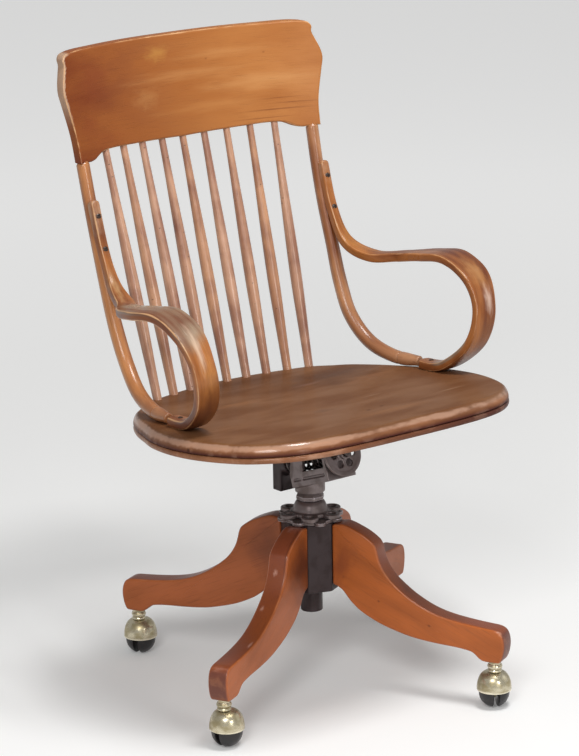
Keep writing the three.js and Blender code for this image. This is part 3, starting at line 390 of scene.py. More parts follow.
# %% The figure of the wood: growth bands, pores and clouds
figure_group, given, out = group(
    "wood figure",
    [("Grain", VECTOR, (0, 0, 0)), ("Bands", NUMBER, 90.0), ("Waviness", NUMBER, 2.5)],
    ["Figure", "Pores", "Cloud"],
)
parts = node(figure_group, "ShaderNodeSeparateXYZ", {0: given["Grain"]}).outputs
drift = noise(figure_group, given["Grain"], (1.7, 9, 9))
lean = maths(figure_group, "MULTIPLY_ADD", parts[2], 0.45, parts[1])
wander = times(figure_group, drift, given["Waviness"])
phase = maths(figure_group, "MULTIPLY_ADD", lean, given["Bands"], wander)
band = maths(figure_group, "PINGPONG", phase, 1.0)
ripple = noise(figure_group, given["Grain"], (6, 260, 260), 2.0)
figure_group.links.new(times(figure_group, stepped(figure_group, band, 0.25, 1.0), ripple), out["Figure"])
streaks = noise(figure_group, given["Grain"], (22, 900, 900), 2.0)
figure_group.links.new(stepped(figure_group, streaks, 0.54, 0.72), out["Pores"])
figure_group.links.new(noise(figure_group, given["Grain"], (7, 17, 17), 4.0, 0.4), out["Cloud"])

# %% Wear: a mask on the edges, broken up by noise
wear_group, given, out = group(
    "edge wear",
    [("Edge", NUMBER, 0.0), ("Place", VECTOR, (0, 0, 0)), ("Reach", NUMBER, 0.4)],
    ["Worn"],
)
broken = noise(wear_group, given["Place"], (38, 90, 90), 4.0)
swell = noise(wear_group, given["Place"], (7, 9, 9), 1.0)
rough_edge = times(wear_group, plus(wear_group, broken, swell), 0.8)
pushed = plus(wear_group, given["Edge"], rough_edge)
limit = maths(wear_group, "SUBTRACT", 2.0, given["Reach"])
top = plus(wear_group, limit, 0.35)
wear_group.links.new(stepped(wear_group, pushed, limit, top), out["Worn"])

# %% Flecks: small dents and specks at the density asked for
fleck_group, given, out = group(
    "flecks",
    [("Place", VECTOR, (0, 0, 0)), ("Spacing", NUMBER, 40.0), ("Amount", NUMBER, 0.1)],
    ["Flecks"],
)
cells = node(fleck_group, "ShaderNodeTexVoronoi", {"Vector": given["Place"], "Scale": given["Spacing"]})
chosen = node(fleck_group, "ShaderNodeSeparateColor", {0: cells.outputs["Color"]}).outputs[0]
small = maths(fleck_group, "LESS_THAN", chosen, given["Amount"])
dot = stepped(fleck_group, cells.outputs["Distance"], 0.16, 0.07)
fleck_group.links.new(times(fleck_group, dot, small), out["Flecks"])
print("shared effects:", figure_group.name, "-", wear_group.name, "-", fleck_group.name)

# %% [markdown]
# ## Wood finishes
#
# All the wood is stained and varnished, and each family of pieces has aged its own way. One function builds
# a wood material: a pale and a deep tone mixed by the growth bands, clouds in the stain, dark pores, pale
# worn edges, and a zone of another tone, such as the end faces of the legs. On some pieces the zone, the
# worn edges and the spots also carry painted shade and painted highlights. The varnish is a thin clear
# coat.


# %% Colours, attributes and spots
def tone(code):
    """A colour written as RRGGBB, as the light values that a shader works with."""
    value = np.array([int(code[i : i + 2], 16) for i in (0, 2, 4)]) / 255
    linear = np.where(value <= 0.04045, value / 12.92, ((value + 0.055) / 1.055) ** 2.4)
    return (*linear.tolist(), 1.0)


def started(name):
    """A new material with its tree, its shader and its three attributes."""
    material = bpy.data.materials.new(name)
    material.use_nodes = True
    tree = material.node_tree
    read = lambda mask, socket: node(tree, "ShaderNodeAttribute", attribute_name=mask).outputs[socket]
    masks = read("grain", "Vector"), read("edge", "Fac"), read("zone", "Fac")
    return material, tree, tree.nodes["Principled BSDF"], *masks


def bumped(tree, height, distance, strength=0.6):
    """A normal for a surface whose height varies, by a distance in metres."""
    inputs = {"Height": height, "Distance": distance, "Strength": strength}
    return node(tree, "ShaderNodeBump", inputs).outputs[0]


def spot(tree, place, colour, centre, reach, paint, strength):
    """Another tone in a ragged blot: |(p - c) / reach| plus noise, stepped down around 1."""
    centre, reach = np.array(centre) * MM, np.array(reach) * MM
    inputs = {0: place, 1: tuple(1 / reach), 2: tuple(-centre / reach)}
    scaled = node(tree, "ShaderNodeVectorMath", inputs, operation="MULTIPLY_ADD").outputs[0]
    gap = node(tree, "ShaderNodeVectorMath", {0: scaled}, operation="LENGTH").outputs["Value"]
    pushed = maths(tree, "MULTIPLY_ADD", noise(tree, scaled, (1.6, 1.6, 1.6), 3.0), 1.5, gap)
    inside = times(tree, stepped(tree, pushed, 1.95, 0.75), strength)
    return mixed(tree, inside, colour, tone(paint))


# %% The wood material
PORE_BROWN, FLECK_BROWN = "3a1c0e", "2c150b"


def wood(name, pale, deep, worn, zone_tone, end_tone, *, bands=90.0, waviness=2.5, contrast=0.5, clouds=0.5,
         cloud_range=(0.3, 0.72), zone_break=0.0, reach=0.4, wear_share=0.75, pores=0.35, flecks=0.06,
         fleck_spacing=34.0, roughness=(0.3, 0.5), coat=(0.1, 0.3), coat_roughness=0.22, specular=0.3,
         spots=()):
    """The zone mask brings in the zone tone from 0 to 1 and the end tone from 1 to 2. coat gives the varnish
    on flat wood and on rounded edges. Each spot is a centre, a reach, a tone and a strength."""
    material, tree, shader, grain, edge, zone = started(name)
    figure = used(tree, figure_group, {"Grain": grain, "Bands": bands, "Waviness": waviness})
    wear = used(tree, wear_group, {"Edge": edge, "Place": grain, "Reach": reach})["Worn"]
    specks = used(tree, fleck_group, {"Place": grain, "Spacing": fleck_spacing, "Amount": flecks})["Flecks"]

    cloud = stepped(tree, figure["Cloud"], *cloud_range)
    share = plus(tree, times(tree, figure["Figure"], contrast), times(tree, cloud, clouds))
    colour = mixed(tree, share, tone(pale), tone(deep))
    where = zone
    if zone_break:
        patch = noise(tree, grain, (16, 30, 30), 4.0)
        ragged = plus(tree, zone, times(tree, patch, zone_break))
        where = stepped(tree, ragged, 0.5 + zone_break / 2, 1.0 + zone_break / 2)
    zone_colour = mixed(tree, share, tone(zone_tone), tone(deep))
    colour = mixed(tree, stepped(tree, where, 0.0, 1.0), colour, zone_colour)
    rubbed = times(tree, stepped(tree, noise(tree, grain, (26, 70, 70)), 0.48, 0.66), 0.14)
    end_colour = mixed(tree, rubbed, tone(end_tone), tone(worn))
    colour = mixed(tree, stepped(tree, zone, 1.0, 2.0), colour, end_colour)
    for centre, size, paint, strength in spots:
        colour = spot(tree, grain, colour, centre, size, paint, strength)
    colour = mixed(tree, times(tree, figure["Pores"], pores), colour, tone(PORE_BROWN), "MULTIPLY")
    colour = mixed(tree, times(tree, wear, wear_share), colour, tone(worn))
    colour = mixed(tree, times(tree, specks, 0.7), colour, tone(FLECK_BROWN))
    tree.links.new(colour, shader.inputs["Base Color"])

    dull = stepped(tree, figure["Cloud"], 0.25, 0.75, *roughness)
    tree.links.new(plus(tree, dull, times(tree, wear, 0.12)), shader.inputs["Roughness"])
    hollows = plus(tree, figure["Pores"], specks)
    height = maths(tree, "SUBTRACT", times(tree, figure["Figure"], 0.35), hollows)
    tree.links.new(bumped(tree, height, 0.0002), shader.inputs["Normal"])
    tree.links.new(stepped(tree, edge, 0.1, 0.9, *coat), shader.inputs["Coat Weight"])
    shader.inputs["Coat Roughness"].default_value = coat_roughness
    shader.inputs["Specular IOR Level"].default_value = specular
    print(name, len(tree.nodes), "nodes")
    return material


# %% Six woods, one for each family of pieces
LEG_GRAIN_SLOPE = math.radians(-24)
GRAIN_STEP = np.array([900.0, 270.0, 0.0])


def leg_spot(number, reach, height, depth=0.0):
    """Where a point of a leg lies in that leg's own wood: turned down by the slope of its grain."""
    cos, sin = math.cos(LEG_GRAIN_SLOPE), math.sin(LEG_GRAIN_SLOPE)
    turned = np.stack([reach * cos + height * sin, height * cos - reach * sin, depth + 0 * height], -1)
    return turned + number * GRAIN_STEP


# The crest's zone tone 6b2a0c, darker and redder toward the left end, is partly stain and partly painted
# shade; its end tone ab8a72 is a painted highlight on the upper part of the left end face.
crest_finish = wood(
    "crest wood", "b2743e", "985827", "cfa274", "6b2a0c", "ab8a72", bands=30.0, waviness=4.0, contrast=0.2,
    clouds=0.65, reach=0.45, roughness=(0.36, 0.52), coat=(0.04, 0.3), pores=0.1, flecks=0.03, specular=0.15,
    spots=[
        ((-31, 128, 0), (26, 13, 12), "c8954a", 0.34), ((-64, 65, 0), (32, 18, 12), "c4915a", 0.22),
        ((20, 92, 0), (130, 10, 12), "cb965f", 0.25), ((90, 118, 0), (100, 9, 12), "cb965f", 0.22),
        ((150, 70, 0), (110, 15, 12), "d09d66", 0.3), ((60, 40, 0), (120, 10, 12), "c68e55", 0.22),
        ((58, 111, 0), (3, 2, 12), "6b3a1c", 0.5), ((156, 112, 0), (3, 1.6, 12), "6b3a1c", 0.5),
        ((165, 24, 0), (70, 1.4, 12), "7a4523", 0.8), ((140, 12, 0), (60, 1.1, 12), "7a4523", 0.7),
        ((195, 33, 0), (50, 1.2, 12), "7a4523", 0.7), ((175, 41, 0), (45, 0.9, 12), "7a4523", 0.6),
        # Three dark blots at the left end: partly stain, partly painted shade.
        ((-171, 110, 0), (40, 30, 12), "7f3d1c", 0.5), ((-197, 44, 0), (30, 26, 12), "7f3d1c", 0.5),
        ((-160, 20, 0), (50, 14, 12), "8a4820", 0.4),
    ],
)
# Turned wood: the orange zone tone bd8046 is partly each spindle's own tint and partly the lighter part of
# the painted shade on its sides, and the end tone 6b3d24 is painted shade on its back.
turned_finish = wood(
    "turned wood", "c4987c", "835442", "dcb493", "bd8046", "6b3d24", bands=140.0, waviness=1.6, contrast=0.5,
    clouds=0.7, reach=0.3, roughness=(0.26, 0.4), coat=(0.6, 0.6), flecks=0.3, fleck_spacing=70.0, pores=0.3,
)
# Post wood: the zone tone b98a66 is partly each post's own tone and partly painted shade on its back, and the
# end tone 6b3a20 is the darkest of that shade.
post_finish = wood(
    "post wood", "bf7f4a", "78401e", "e3b88c", "b98a66", "6b3a20", bands=110.0, waviness=1.8, contrast=0.4,
    clouds=0.9, reach=0.35, roughness=(0.26, 0.42), coat=(0.5, 0.5), flecks=0.16, pores=0.25,
)
# Arm wood: the end tone 4f2a18 is painted shade inside the low loops.
arm_finish = wood(
    "arm wood", "ac6c38", "67331a", "d3a577", "a08b73", "4f2a18", bands=120.0, waviness=1.6, contrast=0.4,
    clouds=0.95, zone_break=0.5, reach=0.45, roughness=(0.24, 0.42), coat=(0.2, 0.45),
    pores=0.25, specular=0.2,
    spots=[
        # dfc5b4 is a painted highlight on the sitter's left loop, and 562e1b painted shade at its bottom.
        ((5442, 5, 7), (26, 8, 6), "dfc5b4", 0.55), ((5398, 0, 7), (34, 16, 6), "c08f5c", 0.5),
        ((5150, 0, 0), (60, 14, 12), "bf8945", 0.45), ((5545, 0, 0), (50, 30, 12), "562e1b", 0.5),
        ((5012, 0, 0), (26, 14, 12), "c2a083", 0.5), ((-4985, 0, 0), (40, 14, 12), "c4a78c", 0.6),
        # dcc2aa is a painted highlight on the sitter's right loop, and 5d3626 painted shade at its bottom.
        ((-4850, 3, 3), (50, 9, 10), "cba473", 0.6), ((-4575, 2, 7), (42, 7, 5), "dcc2aa", 0.6),
        ((-4535, -6, 7), (30, 14, 5), "cc8c4c", 0.5), ((-4462, 0, 4), (72, 40, 16), "5d3626", 0.75),
        ((-4770, 10, 7), (26, 8, 5), "64402a", 0.4),
    ],
)
# Seat wood: the zone tone 986544 is painted light on the lamps' side of the rim. The end tone 4a2620 is
# painted shade on the bead, in the groove and low on the rim. The worn tone cda389 along the rim is partly
# wear and partly a painted highlight.
seat_finish = wood(
    "seat wood", "7b5437", "633c24", "cda389", "986544", "4a2620", bands=26.0, waviness=3.6, contrast=0.22,
    clouds=0.6, zone_break=0.35, reach=0.85, wear_share=0.42, roughness=(0.34, 0.5), coat=(0.04, 1.0),
    pores=0.2, coat_roughness=0.17, cloud_range=(0.36, 0.66), specular=0.05,
    spots=[
        ((166, -135, 0), (30, 1.4, 20), "b99c80", 0.6), ((71, -59, 0), (26, 1.2, 20), "b99c80", 0.55),
        ((61, 82, 0), (34, 6, 20), "a67f6d", 0.5), ((-40, -80, 0), (20, 10, 20), "553724", 0.5),
        ((-90, 60, 0), (60, 12, 20), "9a6b46", 0.5), ((150, 40, 0), (70, 18, 20), "9a6f50", 0.5),
        # The blots 42210f and 4a2a18 are painted shade toward the back of the seat.
        ((20, -170, 0), (90, 14, 20), "9a6b46", 0.4), ((110, 95, 0), (130, 60, 30), "42210f", 0.65),
        ((-20, 165, 0), (150, 50, 30), "4a2a18", 0.5),
    ],
)
leg_finish = wood(
    "leg wood", "b8622a", "8f4a1e", "d58f5e", "84452d", "6b3b2d", bands=60.0, waviness=3.0, contrast=0.35,
    clouds=0.6, reach=0.22, roughness=(0.3, 0.48), coat=(0.1, 0.3), pores=0.25, wear_share=0.6,
    spots=[
        (leg_spot(1, 118.5, 147.1, -15), (3, 2, 12), "4d2613", 0.7),
        (leg_spot(1, 200.4, 119.4, -15), (4, 2, 12), "4d2613", 0.7),
        (leg_spot(4, 120, 209, -2), (8, 5, 4), "c79886", 0.7),
        (leg_spot(4, 159, 165, -6), (6, 5, 3), "c79886", 0.7),
        (leg_spot(4, 231, 134, 9), (10, 5, 3), "c79886", 0.7),
        # Painted shade near the hub on a side of leg 4.
        (leg_spot(4, 62, 200, 15), (60, 80, 9), "43201a", 0.75),
        (leg_spot(1, 200, 148, 0), (120, 12, 20), "55301f", 0.55),
        (leg_spot(1, 52, 190, -15), (22, 50, 12), "6a2f1c", 0.5),
        # b98b80 is a painted highlight at the top of leg 4 by the hub; 5a2a18 is painted shade near the hub
        # on leg 3.
        (leg_spot(4, 58, 258, 0), (14, 8, 12), "b98b80", 0.6),
        (leg_spot(3, 60, 200, 15), (50, 70, 9), "5a2a18", 0.5),
        (leg_spot(4, 314, 127, 0), (9, 6, 16), "c08a78", 0.55),
        (leg_spot(1, 316, 124, -14), (8, 6, 5), "d9a488", 0.6),
    ],
)

# %% [markdown]
# ## Metal and ball finishes
#
# The iron is old black casting with a brownish bloom and rubbed arrises. The casters' bells are brass under
# worn plating, so pale and yellow patches show side by side. The balls are hard black rubber, dull with
# floor dust.


# %% Iron, steel, brass and black rubber
def metal(name, main, bloom, rubbed, *, metallic=0.6, roughness=(0.4, 0.6), patch=(45, 45, 45), reach=0.5,
          bloom_share=0.6, coarse=0.0001):
    """A metal or rubber: two tones in clouds, worn edges, and a fine bump of the height coarse, in metres."""
    material, tree, shader, _, edge, _ = started(name)
    place = node(tree, "ShaderNodeTexCoord").outputs["Object"]
    cloud = stepped(tree, noise(tree, place, patch, 5.0, 0.3), 0.38, 0.66)
    fine = noise(tree, place, (900, 900, 900), 2.0)
    wear = used(tree, wear_group, {"Edge": edge, "Place": place, "Reach": reach})["Worn"]
    colour = mixed(tree, times(tree, cloud, bloom_share), tone(main), tone(bloom))
    colour = mixed(tree, wear, colour, tone(rubbed))
    tree.links.new(colour, shader.inputs["Base Color"])
    rough = stepped(tree, cloud, 0.0, 1.0, *roughness)
    tree.links.new(plus(tree, rough, times(tree, wear, -0.1)), shader.inputs["Roughness"])
    tree.links.new(bumped(tree, fine, coarse, 0.5), shader.inputs["Normal"])
    shader.inputs["Metallic"].default_value = metallic
    print(name, len(tree.nodes), "nodes")
    return material


# %% Six finishes of metal and rubber
iron_finish = metal("old iron", "35292a", "2a1d1b", "877a7c", metallic=0.5, roughness=(0.36, 0.56),
                    coarse=0.00025)
wheel_finish = metal("rubbed iron", "7b6f6e", "54463f", "b9aeb0", metallic=0.55, roughness=(0.34, 0.54),
                     reach=0.65, coarse=0.0002)
screw_finish = metal("browned steel", "3a2c26", "2b1d18", "7d6a60", metallic=0.4, roughness=(0.35, 0.55))
steel_finish = metal("dark steel", "5a5250", "443531", "a39b97", metallic=0.75, roughness=(0.32, 0.52))
caster_finish = metal("worn plating", "cfc6ac", "9a8c66", "ece4cc", metallic=0.85, roughness=(0.24, 0.4),
                      patch=(60, 60, 90), bloom_share=0.8)
ball_finish = metal("black rubber", "1c1a1b", "2b2625", "39322f", metallic=0.0, roughness=(0.28, 0.5),
                    patch=(120, 120, 60), bloom_share=0.5)

# %% [markdown]
# ## The seat
#
# The seat is one thick board with a dished top. Its outline is a closed curve. Rings of that outline, moved
# in and down step by step, make a bead at the bottom, a groove over it, a round rim and the shallow dish.

# %% Seat outline, rim and dish
SEAT_THICKNESS, SEAT_ROUND, SEAT_DISH, SEAT_WIDTH = 27.0, 13.0, 4.0, 560.0
GROOVE, BEAD, SEAT_SHIFT = 3.2, 8.5, -12.0
seat_half = [
    (0, 221), (56.1, 216.3), (112.2, 203.6), (163.3, 185.7), (191.4, 160.7), (211, 143.3), (239.1, 96.2),
    (255.9, 55.2), (268.7, 23.2), (277.2, -12.1), (281.5, -49.8), (279.5, -94.6), (268.7, -139.8),
    (250.9, -179.8), (224.4, -209), (191.9, -230.2), (147.6, -242.9), (78.7, -249.1), (0, -250),
]
seat_points = np.array(seat_half + [(-x, y) for x, y in seat_half[-2:0:-1]]) + (SEAT_SHIFT, 0)
seat_line = through(seat_points, 301, closed=True)[:-1]
seat_middle = np.array([SEAT_SHIFT, -14.5])


def inward(line):
    """Unit normals that point into a closed outline: its tangents turned by a quarter."""
    along = unit(np.roll(line, -1, 0) - np.roll(line, 1, 0))
    normal = np.stack([-along[:, 1], along[:, 0]], -1)
    x, y = line.T
    return normal * np.sign(np.sum(x * np.roll(y, -1) - np.roll(x, -1) * y))


def board_rings(line, steps):
    """Rings of an outline for (inset, level) pairs: line + inset * normal, at that level."""
    inset, level = np.asarray(steps, float).T[:, :, None]
    ring = line + inset[..., None] * inward(line)
    return np.concatenate([ring, np.broadcast_to(level[..., None], ring.shape[:2] + (1,))], -1)


# %% Bead, groove, rim and dish as one stack of rings
turn = np.linspace(0, np.pi, 13)
bead_top = BEAD - SEAT_THICKNESS
bead = np.stack([GROOVE - 2.6 * np.sin(turn), -SEAT_THICKNESS + BEAD * (1 - np.cos(turn)) / 2], -1)
groove = np.array([[GROOVE + 0.7, bead_top + 0.5], [GROOVE - 0.4, bead_top + 1.3]])
quarter = np.linspace(0, np.pi / 2, 16)
rim_start = bead_top + 1.6
rim = np.stack([1 + (SEAT_ROUND - 1) * (1 - np.cos(quarter)), rim_start * (1 - np.sin(quarter))], -1)
rim_steps = np.vstack([[(GROOVE + 6, -SEAT_THICKNESS)], bead, groove, rim])
share = np.linspace(1, 0.03, 30)[1:, None]
top_ring = board_rings(seat_line, [(SEAT_ROUND, 0)])[0, :, :2]
dish_level = -SEAT_DISH * (1 - np.cos(np.pi * np.clip((1 - share) / 0.85, 0, 1))) / 2
dish = seat_middle + (top_ring - seat_middle) * share[..., None]
dish = np.concatenate([dish, np.broadcast_to(dish_level[..., None], dish.shape[:2] + (1,))], -1)
seat_rows = np.concatenate([board_rings(seat_line, rim_steps), dish])
print("seat board", seat_rows.shape)

# %% The seat's rim: wear, a painted highlight line, and painted light and shade, darker on the sitter's left
BEAD_ROWS, BEAD_CREST, GROOVE_ROWS, RIM_ROWS = slice(0, 14), slice(3, 12), slice(13, 16), slice(16, 32)
sitter_right = np.clip(0.5 - seat_rows[..., 0] / SEAT_WIDTH, 0, 1)
seat_wear_and_highlight, seat_light_and_shade = np.zeros((2, *seat_rows.shape[:2]))
hump = np.sin(np.linspace(0, np.pi, len(rim)))[:, None] ** 2
# A pale line along the rim, partly wear and partly a painted highlight, stronger on the sitter's right,
# toward the lamps; the same mask sets the varnish there. Below it, worn chips on the bead's crest.
seat_wear_and_highlight[RIM_ROWS] = 0.8 * hump * (0.68 + 0.32 * sitter_right[RIM_ROWS])
seat_wear_and_highlight[BEAD_CREST] = 0.22 + 0.2 * sitter_right[BEAD_CREST]
# Painted shade: the bead and the groove drawn with the dark end tone, darkest on the sitter's left, away from
# the lamps.
seat_light_and_shade[BEAD_ROWS] = 1.95 - 0.75 * sitter_right[BEAD_ROWS]
seat_light_and_shade[GROOVE_ROWS] = 2.0 - 0.3 * sitter_right[GROOVE_ROWS]
# Painted light and shade on the rim: dark next to the groove, the golden zone tone on the lit side, and
# darker on the sitter's left.
rim_shade_ramp = np.interp(np.arange(len(rim)), [0, 2, 7, 15], [2.0, 1.6, 0.9, 0.0])[:, None]
lit_side = sitter_right[RIM_ROWS]
seat_light_and_shade[RIM_ROWS] = np.maximum(rim_shade_ramp - 1, 0) + np.minimum(rim_shade_ramp, 1) * (0.35 + 0.65 * lit_side)
seat_light_and_shade[RIM_ROWS] += 0.3 * rim_shade_ramp * (1 - lit_side)
piece("seat_board", "seat", "seat_wood", seat_finish, ["seat"],
      skin(on_seat(seat_rows), grain=seat_rows, edge=seat_wear_and_highlight, zone=seat_light_and_shade))

# %% [markdown]
# ## The crest rail
#
# The crest is a bowed board sawn to a scrolled outline. A face with four smooth sides can be filled by a
# Coons patch, which blends the four border curves into a grid. The border then carries on round the edge to
# the back.

# %% Crest outline as four sides
CREST_BOTTOM, CREST_HEIGHT, CREST_HALF = 803.5, 155.9, 246.0
CREST_FACE, CREST_BOW, CREST_THICKNESS, CREST_LEAN, CREST_ROUND = 293.0, 560.0, 18.0, 0.213, 3.6
crest_side = np.array([
    (0, 0.994), (0.61, 1), (0.88, 1), (0.942, 0.98), (0.961, 0.936), (0.955, 0.89), (0.972, 0.81),
    (0.994, 0.71), (1, 0.63), (0.986, 0.53), (0.967, 0.41), (0.95, 0.295), (0.937, 0.17), (0.93, -0.035),
])
crest_low = np.array([
    (0.822, -0.045), (0.78, -0.035), (0.744, -0.01), (0.7, 0.016), (0.63, 0.026), (0.4, 0.016), (0, 0),
])
crest_scale = np.array([CREST_HALF, CREST_HEIGHT])
side = through(crest_side * crest_scale, 900)
corner = np.argmin(np.linalg.norm(side - crest_side[3] * crest_scale, axis=1))
top_half = evenly(side[: corner + 1], 70)
right_side = evenly(side[corner:], 60)[::-1]
low_half = evenly(np.vstack([side[-1:], through(crest_low * crest_scale, 300)]), 70)[::-1]
mirrored = lambda line: line * (-1, 1)
low_side = np.vstack([mirrored(low_half)[::-1], low_half[1:]])
high_side = np.vstack([mirrored(top_half)[::-1], top_half[1:]])
border = np.vstack([low_side, right_side[1:], high_side[::-1][1:], mirrored(right_side)[::-1][1:-1]])
print("crest outline", len(border), "points")


# %% Crest grid, bow and edge
def coons(low, high, left, right):
    """A grid between four border curves: both pairs blended, less the blend of the four corners."""
    u = np.linspace(0, 1, len(low))[None, :, None]
    v = np.linspace(0, 1, len(left))[:, None, None]
    corners = (1 - v) * ((1 - u) * low[0] + u * low[-1]) + v * ((1 - u) * high[0] + u * high[-1])
    return (1 - v) * low + v * high + (1 - u) * left[:, None] + u * right[:, None] - corners


def bowed(flat, depth):
    """Flat points (x, z) bent to a circle and leant back:
    y = face - bow + sqrt((bow + depth)^2 - x^2) + lean z."""
    x, z = flat[..., 0], flat[..., 1]
    y = CREST_FACE - CREST_BOW + np.sqrt((CREST_BOW + depth) ** 2 - x * x) + CREST_LEAN * z
    return np.stack([x, y, z + CREST_BOTTOM], -1)


# %% Crest faces, and the band round their edge
inner = border + CREST_ROUND * inward(border)
wide, tall = len(low_side), len(right_side)
inner_low, inner_right = inner[:wide], inner[wide - 1 : wide + tall - 1]
inner_high = inner[wide + tall - 2 : 2 * wide + tall - 2][::-1]
inner_left = np.vstack([inner[2 * wide + tall - 3 :], inner[:1]])[::-1]
face = coons(inner_low, inner_high, inner_left, inner_right)
arc = np.linspace(0, np.pi / 2, 7)
inset, sunk = CREST_ROUND * (1 - np.sin(arc)), CREST_ROUND * (1 - np.cos(arc))
cut = np.concatenate([inset, inset[::-1]])
deep = np.concatenate([sunk, CREST_THICKNESS - sunk[::-1]])
band_flat = border + cut[:, None, None] * inward(border)
band_edge = np.concatenate([np.sin(2 * arc), np.sin(2 * arc)[::-1]])
flat_grain = lambda flat, depth: np.stack([flat[..., 0], flat[..., 1], depth + 0 * flat[..., 0]], -1)
# Darker toward the left end, partly stain and partly painted shade; a painted highlight on the upper part of
# the left end face.
crest_tone_and_shade = lambda flat: np.clip(0.5 - flat[..., 0] / (2 * CREST_HALF), 0, 1) ** 1.2
end_face_highlight = np.clip((-215 - band_flat[..., 0]) / 12, 0, 1) * np.clip((band_flat[..., 1] - 40) / 50, 0, 1)
faces = [
    skin(bowed(face, depth), grain=flat_grain(face, depth), zone=crest_tone_and_shade(face), around=False)
    for depth in (0.0, CREST_THICKNESS)
]
band = skin(bowed(band_flat, deep[:, None]), grain=flat_grain(band_flat, deep[:, None]),
            edge=band_edge[:, None], zone=crest_tone_and_shade(band_flat) + end_face_highlight, caps=False)
piece("crest_board", "seat", "crest_wood", crest_finish, ["crest_rail"], *faces, band)
print("crest board", face.shape, band_flat.shape)

# %% [markdown]
# ## The spindles
#
# Nine thin rods are turned on a lathe, thickest about two fifths of the way up. Each one runs from its
# socket in the seat to its socket in the crest, so its own axis is its grain, and each gets its own stretch
# of wood.

# %% Nine turned spindles
SPINDLE_BOW, SPINDLE_LINE, SPINDLE_FOOT_STEP, SPINDLE_HEAD_STEP = 590.0, 200.0, 36.7, 40.3


def seat_top(y):
    """How high the seat's flat top lies at a distance behind the column."""
    return SEAT_HEIGHT - y * math.tan(SEAT_SLOPE)


def bow_depth(distance, radius):
    """How far a circle falls back at a distance from its middle: r - sqrt(r^2 - d^2)."""
    return radius - math.sqrt(radius**2 - distance**2)


def side_shade(sides):
    """Painted shade on a rod: 0 where it faces the sitter, rising to 1 at its sides and back:
    (0.5 - cos(u - front)) / 0.6, clipped."""
    front = math.radians(245)
    return np.clip((0.5 - np.cos(full_turn(sides) - front)) / 0.6, 0, 1)


ROD_SIDES = 28
for number in range(1, 10):
    foot_x, head_x = (number - 5) * SPINDLE_FOOT_STEP, (number - 5) * SPINDLE_HEAD_STEP
    foot_y = SPINDLE_LINE - bow_depth(foot_x, SPINDLE_BOW)
    head_y = CREST_FACE + CREST_THICKNESS * 0.42 - bow_depth(head_x, CREST_BOW)
    foot = np.array([foot_x, foot_y, seat_top(foot_y) - 3])
    head = np.array([head_x, head_y, CREST_BOTTOM])
    length = np.linalg.norm(head - foot)
    place = np.linspace(0, 1, 70)
    radius = eased([(0, 6.9), (0.38, 9.2), (1, 5.4)], place)
    profile = np.vstack([[(6.2, -9)], np.stack([radius, place * length], -1), [(5.4, length + 12)]])
    tint = (number * 0.37) % 1 * 0.45
    # Each spindle's own tint, then painted shade on its sides and back.
    rod_tint_and_shade = tint + (1.75 - tint) * side_shade(ROD_SIDES)[None, :]
    rod = lathe(profile, ROD_SIDES, frame_along(foot, head), zone=rod_tint_and_shade)
    rod["grain"] = rod["grain"] * (2.2, 1, 1) + (number * 1.7, number * 0.31, 0)
    piece(f"spindle_{number}_turned", "seat", "turned_wood", turned_finish, [f"spindle_{number}"], rod)
print("spindles", number, "the last one", round(length, 1), "mm between its sockets")

# %% [markdown]
# ## Bent posts and arms
#
# The posts and arms are bent rods and ribbons. A path gives the middle of the wood, and a section is
# carried along it, always square to the path. The ends are drawn in over a few millimetres, so that they
# look sawn and sanded.


# %% A section carried along a path
def stations(path, ease, count):
    """Points along a path, crowded near its two ends, with the path's direction there, and how far along the
    path they lie, in millimetres and as a share."""
    way = distances(path)
    tip = ease * (1 - np.cos(np.linspace(0, np.pi / 2, 7)))
    at = np.concatenate([tip, np.linspace(ease, way[-1] - ease, count)[1:-1], (way[-1] - tip)[::-1]])
    slope = unit(sampled(at, way, np.gradient(path, way, axis=0)))
    return sampled(at, way, path), slope, at, at / way[-1]


def swept(middle, slope, along, across, up):
    """Rows of points middle + across * sideways + up * outward, with both directions square to the path."""
    outward = unit(np.cross(slope, ACROSS))
    sideways = np.cross(outward, slope)
    rows = middle[:, None] + across[..., None] * sideways[:, None] + up[..., None] * outward[:, None]
    return rows, np.stack([np.broadcast_to(along[:, None], across.shape), across, up], -1)


def tip_share(along, ease, half):
    """How much of its size a section keeps near an end: 1 - (ease / half)(1 - sqrt(1 - (1 - d / ease)^2))."""
    near = np.minimum(along, along[-1] - along)
    inside = np.clip(1 - near / ease, 0, 1)
    return 1 - (ease / half) * (1 - np.sqrt(1 - inside**2))


# %% The two back posts
POST_EASE, POST_LEG_GAP, POST_WAIST, POST_FLARE = 3.0, 219.0, 3.0, 22.5
POST_FOOT_BACK, POST_RAKE, POST_NECK, POST_GRAIN = 24.0, 233.0, 795.0, 3000.0
post_shares = [
    (0, 1, 1), (0.5, 0.937, 0.816), (0.75, 0.864, 0.632), (0.62, 0.783, 0.46), (0.86, 0.7, 0.295),
    (0.72, 0.593, 0.152), (-0.2, 0.43, 0.0475), (-0.6, 0.22, 0.0025), (-1, 0, 0.003),
]
post_foot = seat_top(POST_FOOT_BACK) + 8


def post_place(across, back, height):
    """A point of the post's middle line from its shares. Above nought, across leads in to the waist, and
    below nought it leads out to the foot."""
    x = POST_LEG_GAP - (POST_WAIST if across >= 0 else POST_FLARE) * across
    return x, POST_FOOT_BACK + POST_RAKE * back, post_foot + (CREST_BOTTOM - post_foot) * height


